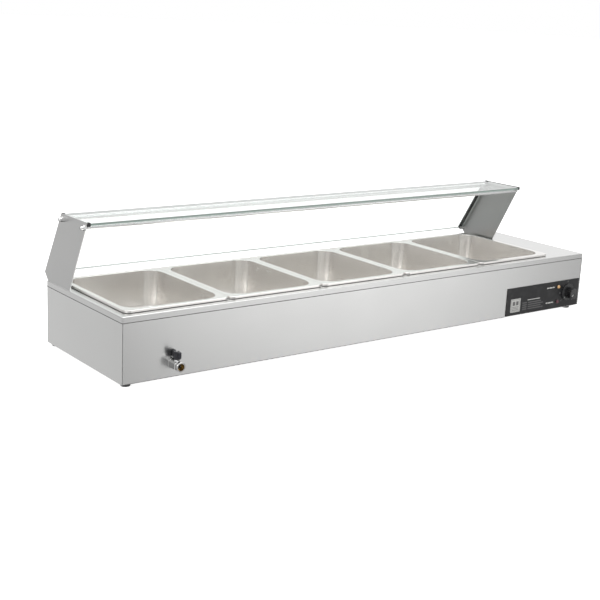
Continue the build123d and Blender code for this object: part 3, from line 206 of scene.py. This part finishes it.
def plated(name, tone, rough, tint=(1.0, 1.0, 1.0), spots=400.0, rim=0.0):
    """Polished or plated metal with faint swirls, dull spots and darker grime.

    A mirror finish gets a painted dark reflection at its rim: the colour darkens where the surface turns
    away, as chrome does in a dark room."""
    s = new_material(name)
    spots = s.noise(s.stretch((spots,) * 3), detail=3.0)
    swirl = s.noise(s.stretch((3000.0, 300.0, 3000.0), (0.5, 0.2, 0.3)), detail=2.0)
    grime = s.span(s.noise(s.stretch((90.0,) * 3), detail=5.0), 0.52, 0.7)
    colour = s.mix(s.math("MULTIPLY", grime, 0.35), grey(tone, tint), grey(tone * 0.6, tint))
    # painted reflection: the colour goes black where the surface turns away from the eye
    colour = s.mix(s.rim(rim), colour, PAINTED_DARK_REFLECTION)
    wear = s.math("ADD", s.span(spots, 0.35, 0.7, 0.0, 0.06), s.math("MULTIPLY", grime, 0.1))
    wear = s.math("ADD", s.span(swirl, 0.4, 0.7, 0.0, 0.04), wear)
    return s.finish(
        base_color=colour, metallic=1.0, roughness=s.math("ADD", wear, rough),
        normal=s.bump(swirl, 0.00003, 0.15),
    )


def moulded(name, colour, rough, grain=2200.0, depth=0.00006, gloss=0.5, sheen=0.0, front=0.0):
    """Moulded plastic or rubber: fine pebbled skin, dust in the low spots, rubbed high ones.

    Faces that look to the front are lighter by the amount front: a painted reflection."""
    s = new_material(name)
    pebble = s.add("TexVoronoi", vector=s.stretch((grain,) * 3), scale=1.0, feature="SMOOTH_F1")
    fine = s.noise(s.stretch((grain * 1.7,) * 3), detail=3.0)
    dust = s.span(s.noise(s.stretch((45.0,) * 3), detail=5.0, roughness=0.6), 0.48, 0.75)
    dusty = tuple(c * 0.55 + 0.09 for c in colour[:3]) + (1.0,)
    base = s.mix(s.math("MULTIPLY", dust, 0.22), colour, dusty)
    # painted reflection: faces turned to the front are lightened in the colour
    ahead = s.span(s.axis(s.normal, 1), -0.7, -0.9, 0.0, front)
    base = s.add("VectorMath", base, s.add("CombineXYZ", ahead, ahead, ahead), operation="ADD")
    wear = s.math("ADD", s.span(fine, 0.3, 0.7, -0.05, 0.05), s.math("MULTIPLY", dust, 0.12))
    return s.finish(
        base_color=base, roughness=s.math("ADD", wear, rough), specular_ior_level=gloss,
        sheen_weight=sheen, normal=s.bump(s.math("ADD", pebble, fine), depth, 0.35),
    )


def glass(name, face, node):
    """Float glass: clear through its two large faces, grey at its ground edges.

    The edge that looks to the front is deep green, and deepest along its top."""
    s = new_material(name)
    low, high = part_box(node)
    middle, top = (low.y + high.y) / 2, high.z
    flat = s.add("VectorMath", s.normal, face, operation="DOT_PRODUCT", out=1)
    flat = s.span(s.math("ABSOLUTE", flat), 0.85, 0.95)
    smear = s.noise(s.stretch((9.0, 9.0, 9.0)), detail=6.0, roughness=0.65)
    film = s.span(smear, 0.5, 0.8, 0.002, 0.008)
    clear = s.add("BsdfTransparent", (0.972, 0.99, 0.982, 1.0))
    shine = s.add("BsdfGlossy", grey(1.0), s.span(smear, 0.4, 0.8, 0.01, 0.06))
    veil = s.add("BsdfDiffuse", grey(0.85, (0.97, 1.0, 0.99)))
    grazing = s.math("POWER", s.add("LayerWeight", 0.5, out=1), 5.0)
    mirror = s.span(grazing, 0.0, 1.0, 0.04, 0.9)
    pane = s.add("MixShader", mirror, clear, shine)
    pane = s.add("MixShader", film, pane, veil)
    chips = s.noise(s.stretch((900.0, 900.0, 2600.0)), detail=4.0)
    long_way = s.noise(s.stretch((3.5, 40.0, 300.0)), detail=3.0)
    deep = s.mix(s.span(long_way, 0.35, 0.68), (0.10, 0.15, 0.125, 1.0), (0.17, 0.23, 0.20, 1.0))
    across = s.span(s.axis(s.place, 2), top - 1.6 * MM, top - 2.6 * MM)
    deep = s.mix(across, deep, (0.27, 0.34, 0.31, 1.0))
    level = s.span(s.math("ABSOLUTE", s.axis(s.normal, 1)), 0.9, 0.8)
    behind = s.span(s.axis(s.place, 1), middle - MM, middle + MM)
    green = s.mix(s.math("MAXIMUM", level, behind), deep, grey(0.62, (0.98, 1.0, 0.99)))
    edge = s.add(
        "BsdfPrincipled", base_color=green, roughness=s.span(chips, 0.3, 0.7, 0.12, 0.34),
        coat_weight=0.6, normal=s.bump(chips, 0.00005, 0.3),
    )
    return s.output(s.add("MixShader", flat, edge, pane))


def lens(name, colour, rim, glow):
    """A moulded lamp lens: bright in the middle, deep coloured at its rim, ringed inside."""
    s = new_material(name)
    rings = s.noise(s.stretch((1400.0, 200.0, 1400.0)), detail=2.0)
    facing = s.add("LayerWeight", 0.4, out=1)
    shade = s.mix(s.span(facing, 0.15, 0.6), colour, rim)
    shade = s.mix(s.span(rings, 0.35, 0.65, 0.0, 0.3), shade, rim)
    return s.finish(
        base_color=shade, roughness=s.span(rings, 0.3, 0.7, 0.1, 0.22), coat_weight=0.4,
        emission_color=shade, emission_strength=glow, normal=s.bump(rings, 0.0002, 0.3),
    )


def outlet_metal(name):
    """Chrome outside, with the turned brass bare inside the bore."""
    s = new_material(name)
    low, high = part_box("valve_outlet")
    centre = (low + high) / 2
    reach = s.add("VectorMath", s.place, (centre.x, centre.y, centre.z), operation="SUBTRACT")
    flat = s.add("VectorMath", reach, (1.0, 0.0, 1.0), operation="MULTIPLY")
    radius = s.add("VectorMath", flat, operation="LENGTH", out=1)
    inside = s.span(radius, 8.3 * MM, 8.15 * MM)
    thread = s.add("TexWave", vector=s.stretch((0.0, 1.0, 0.0)), scale=160.0, bands_direction="Y")
    grime = s.noise(s.stretch((500.0,) * 3), detail=4.0)
    brass = s.mix(s.span(grime, 0.32, 0.62), (0.6, 0.45, 0.2, 1.0), (0.16, 0.11, 0.05, 1.0))
    chrome = s.mix(s.span(grime, 0.55, 0.75, 0.0, 0.4), grey(0.8), grey(0.5))
    # painted reflection: the chrome's colour goes black where it turns away from the eye
    chrome = s.mix(s.rim(0.8), chrome, PAINTED_DARK_REFLECTION)
    height = s.math("MULTIPLY", thread, inside)
    return s.finish(
        base_color=s.mix(inside, chrome, brass), metallic=1.0,
        roughness=s.math("ADD", s.span(grime, 0.3, 0.7, 0.04, 0.1), s.math("MULTIPLY", inside, 0.22)),
        normal=s.bump(height, 0.0004, 0.8),
    )


def printed(name, colour, rough=0.5):
    """Screen-printed ink or label film, slightly uneven and rubbed."""
    s = new_material(name)
    speck = s.noise(s.stretch((1500.0,) * 3), detail=3.0)
    rub = s.noise(s.stretch((120.0,) * 3), detail=4.0)
    worn = s.span(rub, 0.55, 0.75, 0.0, 0.25)
    tone = s.mix(worn, colour, tuple(c * 0.6 for c in colour[:3]) + (1.0,))
    return s.finish(
        base_color=tone, roughness=s.span(speck, 0.3, 0.7, rough - 0.08, rough + 0.1),
        normal=s.bump(speck, 0.00003, 0.3),
    )


MATERIALS = {
    "casing": brushed("casing_brushed", 0.70, 0.24),
    "deck": brushed("deck_brushed", 0.76, 0.25, skirt=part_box("water_tank")[1].z + 0.4 * MM),
    "pan": satin("pan_satin", 0.88, 0.23),
    "tank": satin("tank_satin", 0.56, 0.34),
    "guard_left": brushed("guard_left_brushed", 0.64, 0.3, lines=2, side_lines=2),
    # The right bracket is the same steel as the left, given a darker tone as painted shade.
    "guard_right": brushed("guard_right_brushed", 0.54, 0.3, lines=2, side_lines=2),
    "rods": satin("rod_satin", 0.74, 0.2, (1.0, 1.0, 1.0)),
    # rim paints a dark reflection onto the chrome where it turns away
    "chrome": plated("chrome_plate", 0.97, 0.05, rim=0.95),
    "screws": plated("screw_steel", 0.55, 0.22),
    "zinc": plated("zinc_plate", 0.5, 0.3, (0.98, 1.0, 1.02)),
    "heater": plated("heater_sheath", 0.33, 0.38, (1.0, 0.93, 0.86)),
    "copper": plated("copper_tube", 0.7, 0.25, (1.0, 0.55, 0.4)),
    "brass": plated("turned_brass", 0.62, 0.25, (1.0, 0.78, 0.4)),
    "outlet": outlet_metal("outlet_metal"),
    "top_glass": glass("top_pane_glass", (0.0, 0.0, 1.0), "top_glass"),
    "rubber": moulded("black_rubber", (0.022, 0.022, 0.024, 1.0), 0.62, 1500.0, 0.0001, 0.35, 0.1),
    "feet": moulded("foot_rubber", (0.07, 0.07, 0.072, 1.0), 0.58, 1100.0, 0.0001, 0.35, 0.1),
    # front paints a lighter reflection onto the front faces of these black parts
    "plastic": moulded("black_plastic", (0.006, 0.006, 0.007, 1.0), 0.27, 1900.0, 0.00004, front=0.035),
    "handle": moulded("handle_plastic", (0.014, 0.014, 0.02, 1.0), 0.3, 2600.0, 0.00004),
    "panel": moulded("panel_film", (0.014, 0.014, 0.015, 1.0), 0.34, 3200.0, 0.00003, 0.4),
    "silicone": moulded("white_silicone", (0.62, 0.6, 0.56, 1.0), 0.5, 900.0, 0.00004),
    "ceramic": moulded("cream_block", (0.55, 0.52, 0.44, 1.0), 0.42, 700.0, 0.00005),
    "wire": moulded("wire_sleeve", (0.2, 0.12, 0.07, 1.0), 0.5, 1800.0, 0.00004),
    "cord": moulded("cord_sheath", (0.02, 0.02, 0.021, 1.0), 0.48, 1300.0, 0.00006, 0.4, 0.1),
    "amber": lens("amber_lens", (0.66, 0.42, 0.2, 1.0), (0.16, 0.07, 0.012, 1.0), 0.3),
    "red": lens("red_lens", (0.11, 0.03, 0.045, 1.0), (0.05, 0.008, 0.015, 1.0), 0.05),
}

strip_low, strip_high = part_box("rear_glass_strips")
slope = Vector((0.0, strip_high.y - strip_low.y, strip_low.z - strip_high.z)).normalized()
MATERIALS["rear_glass"] = glass("rear_pane_glass", (0.0, -slope.z, slope.y), "rear_glass")

USED = {
    "casing": ["body_shell", "front_panel", "base_plate"],
    "deck": ["top_deck"],
    "tank": ["water_tank", "element_clips"],
    "pan": ["pan_1", "pan_2", "pan_3", "pan_4", "pan_5"],
    "guard_left": ["guard_bracket_left"],
    "guard_right": ["guard_bracket_right"],
    "rods": ["front_tie_rod", "rear_tie_rod"],
    "chrome": ["guard_cap_nuts", "valve_body", "valve_ball"],
    "screws": [
        "sheet_screws", "foot_screws", "hex_nuts", "bracket_screws", "handle_screw", "valve_stem",
    ],
    "zinc": ["lamp_nuts", "thermostat_screws", "thermostat_body", "knob_shaft"],
    "heater": ["heating_element"],
    "copper": ["thermostat_bulb"],
    "brass": [
        "drain_fitting", "drain_lock_nut", "element_nuts", "capillary_gland", "earth_stud", "plug_pins",
    ],
    "outlet": ["valve_outlet"],
    "top_glass": ["top_glass"],
    "rear_glass": ["rear_glass"],
    "rubber": ["glass_corner_pads", "rear_glass_strips"],
    "feet": ["rubber_feet"],
    "plastic": [
        "control_knob", "lamp_bezels", "limit_thermostat", "cable_gland", "gland_nut", "cord_tie",
    ],
    "handle": ["valve_handle"],
    "panel": ["control_panel"],
    "silicone": ["drain_gasket", "valve_seats", "stem_packing", "element_gaskets"],
    "ceramic": ["terminal_block"],
    "wire": ["wiring"],
    "cord": ["power_cord", "plug_body"],
    "amber": ["power_lamp"],
    "red": ["heating_lamp"],
}

for kind, names in USED.items():
    for name in names:
        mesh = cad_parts[name].data
        mesh.materials.clear()
        mesh.materials.append(MATERIALS[kind])


# ------------------------------------------------------------- printed marks and inserts


def add_piece(name, mesh_data, material, body):
    """Links a bmesh as a new piece that rides on a body."""
    bmesh.ops.recalc_face_normals(mesh_data, faces=mesh_data.faces)
    mesh = bpy.data.meshes.new(name)
    mesh_data.to_mesh(mesh)
    mesh_data.free()
    mesh.materials.append(material)
    piece = bpy.data.objects.new(name, mesh)
    bpy.context.scene.collection.objects.link(piece)
    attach(piece, body)
    return piece


def rounded_outline(x0, x1, z0, z1, radius, steps=4):
    """Points of a round-cornered rectangle in x and z."""
    points = []
    corners = ((x1, z1, 0), (x0, z1, 90), (x0, z0, 180), (x1, z0, 270))
    for cx, cz, start in corners:
        mid_x = cx - radius if cx == x1 else cx + radius
        mid_z = cz - radius if cz == z1 else cz + radius
        for step in range(steps + 1):
            angle = math.radians(start + 90 * step / steps)
            points.append((mid_x + radius * math.cos(angle), mid_z + radius * math.sin(angle)))
    return points


def raise_outline(shape, points, y_back, y_front):
    """A thin closed plate with that outline, standing forward from y_back to y_front."""
    back = [shape.verts.new((x, y_back, z)) for x, z in points]
    front = [shape.verts.new((x, y_front, z)) for x, z in points]
    shape.faces.new(back)
    shape.faces.new(list(reversed(front)))
    for i in range(len(points)):
        j = (i + 1) % len(points)
        shape.faces.new((back[i], back[j], front[j], front[i]))


def plates(boxes, y_back, y_front, radius):
    """Several thin round-cornered plates in one mesh."""
    shape = bmesh.new()
    for x0, x1, z0, z1 in boxes:
        corner = min(radius, (x1 - x0) * 0.45, (z1 - z0) * 0.45)
        raise_outline(shape, rounded_outline(x0, x1, z0, z1, corner), y_back, y_front)
    return shape


panel_low, panel_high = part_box("control_panel")
FACE = panel_low.y
INK = 0.06 * MM


def on_panel(x, z):
    """A point on the panel, in millimetres from its lower left corner."""
    return panel_low.x + x * MM, panel_low.z + z * MM


def panel_boxes(boxes):
    """Rectangles on the panel, in millimetres from its lower left corner."""
    placed = []
    for x0, x1, z0, z1 in boxes:
        left, bottom = on_panel(x0, z0)
        right, top = on_panel(x1, z1)
        placed.append((left, right, bottom, top))
    return placed


def panel_print(name, boxes, radius, material, back=FACE, front=FACE - INK):
    """Flat marks on the panel with rounded corners, all in millimetres from its lower left corner."""
    marks = plates(panel_boxes(boxes), back, front, radius * MM)
    add_piece(name, marks, material, "unit")


label_white = printed("label_film", (0.52, 0.52, 0.5, 1.0), 0.42)
ink_light = printed("ink_light", (0.55, 0.55, 0.53, 1.0))
ink_grey = printed("ink_grey", (0.13, 0.13, 0.13, 1.0))
ink_dark = printed("ink_dark", (0.1, 0.1, 0.1, 1.0))
ink_dial = printed("ink_dial", (0.2, 0.2, 0.2, 1.0))

LABEL = (17.0, 55.0, 8.5, 46.0)
LABEL_FACE = FACE - 0.2 * MM
LINE = 0.8
left, right, bottom, top = 19.5, 52.5, 11.0, 43.5
frames = [
    (left, right, top - LINE, top), (left, right, bottom, bottom + LINE),
    (left, left + LINE, bottom + LINE, top - LINE), (right - LINE, right, bottom + LINE, top - LINE),
]
rows = [(23.0, 49.0, 14.0 + 4.0 * i, 15.5 + 4.0 * i) for i in range(3)]
blocks = [(x, x + 9.5, 27.5, 38.5) for x in (24.5, 38.0)]
panel_print("panel_label", [LABEL], 1.5, label_white, FACE, LABEL_FACE)
panel_print("panel_label_print", frames + rows + blocks, 0.5, ink_grey, LABEL_FACE, LABEL_FACE - INK)

rows = []
for row in range(4):
    z = 10.5 + 6.0 * row
    rows.append((64.0, 82.0, z, z + 3.6))
    rows.append((86.0, 148.0 - 9.0 * (row % 2), z, z + 3.2))
panel_print("panel_rows", rows, 0.8, ink_dark)
panel_print("panel_bar", [(84.0, 134.0, 36.5, 38.6)], 1.0, ink_light)

lamp_boxes = []
for lamp in ("power_lamp", "heating_lamp"):
    low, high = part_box(lamp)
    x, z = (low.x + high.x) / 2, (low.z + high.z) / 2
    for start, end in ((-47.0, -39.0), (-37.5, -26.0), (-24.5, -16.0)):
        lamp_boxes.append((x + start * MM, x + end * MM, z - 1.7 * MM, z + 1.7 * MM))
add_piece("lamp_marks", plates(lamp_boxes, FACE, FACE - INK, 0.6 * MM), ink_light, "unit")

knob_low, knob_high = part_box("control_knob")
KNOB = Vector(((knob_low.x + knob_high.x) / 2, 0.0, (knob_low.z + knob_high.z) / 2))
SKIRT_RADIUS = (knob_high.x - knob_low.x) / 2
SKIRT_FACE = FACE - 4.0 * MM


def polar(radius, degrees):
    """A point round the knob's axis: 0 is straight up, and angles grow clockwise from the front."""
    angle = math.radians(degrees)
    return KNOB.x + radius * math.sin(angle), KNOB.z + radius * math.cos(angle)


def tick_outline(inner, outer, width, degrees):
    """The four corners of a mark that points at the knob's axis."""
    angle = math.radians(degrees)
    across = (math.cos(angle) * width / 2, -math.sin(angle) * width / 2)
    (ix, iz), (ox, oz) = polar(inner, degrees), polar(outer, degrees)
    return [
        (ix - across[0], iz - across[1]), (ix + across[0], iz + across[1]),
        (ox + across[0], oz + across[1]), (ox - across[0], oz - across[1]),
    ]


dial = bmesh.new()
TICKS = 19
OFF = 225.0
for tick in range(TICKS):
    degrees = OFF + 270.0 * tick / (TICKS - 1)
    major = tick % 3 == 0
    inner, width = SKIRT_RADIUS + 1.5 * MM, (0.8 if major else 0.5) * MM
    raise_outline(
        dial, tick_outline(inner, inner + (2.6 if major else 1.6) * MM, width, degrees), FACE, FACE - INK
    )
add_piece("dial_ticks", dial, ink_dial, "unit")

SEGMENTS = {"0": "abcdef", "1": "bc", "3": "abcdg", "5": "acdfg", "6": "acdefg", "7": "abc", "9": "abcdfg"}
BARS = {
    "a": (0, 1, 2, 2), "g": (0, 1, 1, 1), "d": (0, 1, 0, 0),
    "f": (0, 0, 1, 2), "b": (1, 1, 1, 2), "e": (0, 0, 0, 1), "c": (1, 1, 0, 1),
}


def digit_outlines(text, x, z, size):
    """Plain upright stroked digits, centred on a point of the panel."""
    step, stroke = size * 0.72, size * 0.13
    outlines = []
    for place, digit in enumerate(text):
        left = x + (place - (len(text) - 1) / 2) * step - size * 0.21
        for bar in SEGMENTS[digit]:
            c0, c1, r0, r1 = BARS[bar]
            x0, x1 = left + c0 * size * 0.42 - stroke / 2, left + c1 * size * 0.42 + stroke / 2
            z0, z1 = z + (r0 - 1) * size / 2 - stroke / 2, z + (r1 - 1) * size / 2 + stroke / 2
            outlines.append([(x0, z0), (x1, z0), (x1, z1), (x0, z1)])
    return outlines


numbers = bmesh.new()
for text, turn in (("0", 0), ("30", 45), ("50", 135), ("70", 225), ("90", 270)):
    x, z = polar(SKIRT_RADIUS + 7.6 * MM, OFF + turn)
    for layer, outline in enumerate(digit_outlines(text, x, z, 3.4 * MM)):
        raise_outline(numbers, outline, FACE, FACE - INK * (1.0 + 0.02 * layer))
add_piece("dial_numbers", numbers, ink_dial, "unit")

pointer = bmesh.new()
pointer_line = tick_outline(-5.0 * MM, 10.0 * MM, 2.6 * MM, OFF)
raise_outline(pointer, pointer_line, knob_low.y + 0.75 * MM, knob_low.y + 0.2 * MM)
bmesh.ops.bevel(pointer, geom=pointer.edges[:], offset=0.12 * MM, segments=2, affect="EDGES", profile=0.5)
add_piece("knob_pointer", pointer, ink_light, "knob")

skirt_line = bmesh.new()
raise_outline(skirt_line, tick_outline(17.5 * MM, 22.2 * MM, 1.2 * MM, OFF), SKIRT_FACE, SKIRT_FACE - INK)
add_piece("knob_skirt_line", skirt_line, ink_light, "knob")


# ------------------------------------------------------------- painted shadow in the casing's seams


def paint_seam_shadows():
    """Dark strips that paint the shadow in the groove under the worktop, up the front corners and along
    the bottom.
    """
    shape = bmesh.new()
    low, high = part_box("body_shell")
    panel_left = panel_low.x - 0.5 * MM
    deep, half, proud = 0.9 * MM, 0.9 * MM, 0.05 * MM
    front_y, groove = (low.y - proud, low.y + deep), (high.z - half, high.z + half)
    corner_z = (low.z + MM, high.z - half)
    runs = [
        ((low.x, high.x), front_y, groove),
        ((low.x, high.x), (high.y - deep, high.y + proud), groove),
        ((low.x - proud, low.x + deep), (low.y, high.y), groove),
        ((high.x - deep, high.x + proud), (low.y, high.y), groove),
        ((low.x + 0.7 * MM, low.x + 2.0 * MM), front_y, corner_z),
        ((high.x - 2.0 * MM, high.x - 0.7 * MM), front_y, corner_z),
        ((low.x + MM, panel_left), front_y, (low.z - 0.3 * MM, low.z + 1.1 * MM)),
    ]
    for run in runs:
        start, end = Vector([side[0] for side in run]), Vector([side[1] for side in run])
        place = Matrix.Translation((start + end) / 2) @ Matrix.Diagonal(end - start).to_4x4()
        made = bmesh.ops.create_cube(shape, size=1.0, matrix=place)
        edges = {edge for vert in made["verts"] for edge in vert.link_edges}
        bmesh.ops.bevel(shape, geom=list(edges), offset=0.3 * MM, segments=2, affect="EDGES", profile=0.5)
    return shape


# painted shadow: a dark strip stands in for the shade along the seams and the bottom edge
seam_shade_material = moulded("seam_sealant", (0.07, 0.07, 0.07, 1.0), 0.55, 900.0, 0.00005, 0.3)
add_piece("seam_beads", paint_seam_shadows(), seam_shade_material, "unit")


# ------------------------------------------------------------- floor, light and camera


def make_floor():
    """A plain pale floor, larger than any view of it."""
    half = 30.0
    shape = bmesh.new()
    corners = ((-half, -half), (half, -half), (half, half), (-half, half))
    shape.faces.new([shape.verts.new((x, y, 0.0)) for x, y in corners])
    mesh = bpy.data.meshes.new("floor")
    shape.to_mesh(mesh)
    shape.free()
    s = new_material("floor_paper")
    tone = s.span(s.noise(s.stretch((2.0, 2.0, 2.0)), detail=2.0), 0.3, 0.7, 0.86, 0.88)
    matt = s.add("BsdfDiffuse", tone)
    lift = s.add("Emission", grey(1.0), s.math("MULTIPLY", s.add("LightPath"), 0.75))
    mesh.materials.append(s.output(s.add("AddShader", matt, lift)))
    floor = bpy.data.objects.new("floor", mesh)
    bpy.context.scene.collection.objects.link(floor)
    floor.visible_glossy = False


# Brightness of the studio walls that the steel mirrors, by compass direction in degrees:
# 0 is the front, 90 the right, 180 the back, -90 the left.
WALLS = [
    (-180, 0.95), (-160, 0.84), (-148, 0.66), (-138, 0.38), (-120, 0.40), (-100, 0.62), (-60, 0.7),
    (-20, 0.62), (6, 0.5), (14, 0.2), (19, 0.08), (23.5, 0.2), (28, 1.12), (34, 1.5), (41, 1.58),
    (46, 1.28), (51, 0.52), (57, 0.28), (66, 0.42), (82, 0.7), (110, 0.98), (180, 0.95),
]


def make_world():
    """White to the camera; to everything else, a soft room with lighter and darker walls.

    Overhead it is bright, and low down in front it has a dark band above a pale floor."""
    s = Shader(bpy.data.worlds.new("studio"))
    flat_y = s.math("MULTIPLY", s.axis(s.way, 1), -1.0)
    turn = s.math("ARCTAN2", s.axis(s.way, 0), flat_y)
    share = s.span(turn, -math.pi, math.pi)
    ramp = s.tree.nodes.new("ShaderNodeValToRGB")
    ramp.color_ramp.interpolation = "EASE"
    marks = ramp.color_ramp.elements
    while len(marks) < len(WALLS):
        marks.new(0.5)
    for mark, (degrees, level) in zip(marks, WALLS):
        mark.position = degrees / 360 + 0.5
        mark.color = grey(level)
    s.tree.links.new(share, ramp.inputs[0])
    height = s.axis(s.way, 2)
    band_top, band_full, floor_full = -0.262, -0.325, -0.5
    floor_start = -0.36
    above = s.mix(s.span(height, 0.25, 0.7), ramp.outputs[0], grey(1.05))
    left_end = s.span(turn, math.radians(12), math.radians(22))
    right_end = s.span(turn, math.radians(75), math.radians(60))
    ahead = s.math("MULTIPLY", left_end, right_end)
    band = s.math("MULTIPLY", s.span(height, band_top, band_full), s.span(height, floor_full, floor_start))
    room = s.mix(s.math("MULTIPLY", band, ahead), above, grey(0.12))
    room = s.mix(s.span(height, floor_start, floor_full), room, grey(0.62))
    seen = s.mix(s.add("LightPath"), room, grey(1.0))
    bpy.context.scene.world = s.output(s.add("Background", seen, 1.0), "World")


def softbox(name, place, target, size, power):
    """A rectangular soft light aimed at a point."""
    light = bpy.data.lights.new(name, "AREA")
    light.shape = "RECTANGLE"
    light.size, light.size_y = size
    light.energy = power
    lamp_object = bpy.data.objects.new(name, light)
    bpy.context.scene.collection.objects.link(lamp_object)
    aim = Vector(target) - Vector(place)
    turn = aim.to_track_quat("-Z", "Y").to_matrix().to_4x4()
    lamp_object.matrix_world = Matrix.Translation(place) @ turn
    lamp_object.visible_camera = False


CAMERA_PLACE = (-1.85057, -2.2536, 0.81497)
CAMERA_TURN = (37.607, 14.556, 2.75)
CAMERA_LENS, CAMERA_SENSOR = 69.16, 36.0


def make_camera():
    """The photograph's view: a long lens from the front left, tipped a little.

    CAMERA_TURN is how far it looks to the right, down and rolled, in degrees."""
    azimuth, elevation, roll = (math.radians(angle) for angle in CAMERA_TURN)
    level = math.cos(elevation)
    forward = Vector((math.sin(azimuth) * level, math.cos(azimuth) * level, -math.sin(elevation)))
    right = forward.cross(Vector((0, 0, 1))).normalized()
    up = right.cross(forward)
    tipped_right = right * math.cos(roll) + up * math.sin(roll)
    tipped_up = up * math.cos(roll) - right * math.sin(roll)
    data = bpy.data.cameras.new("photo_view")
    data.lens = CAMERA_LENS
    data.sensor_width = CAMERA_SENSOR
    data.clip_start = 0.01
    camera = bpy.data.objects.new("photo_view", data)
    bpy.context.scene.collection.objects.link(camera)
    turn = Matrix((tipped_right, tipped_up, -forward)).transposed().to_4x4()
    camera.matrix_world = Matrix.Translation(CAMERA_PLACE) @ turn
    bpy.context.scene.camera = camera


make_floor()
make_world()
softbox("overhead", (0.3, -0.4, 2.4), (0.0, 0.0, 0.1), (2.6, 1.6), 18.0)
softbox("left_fill", (-2.4, -1.2, 1.4), (0.0, 0.0, 0.15), (1.2, 1.0), 6.0)
make_camera()
bpy.context.scene.view_settings.view_transform = "Standard"
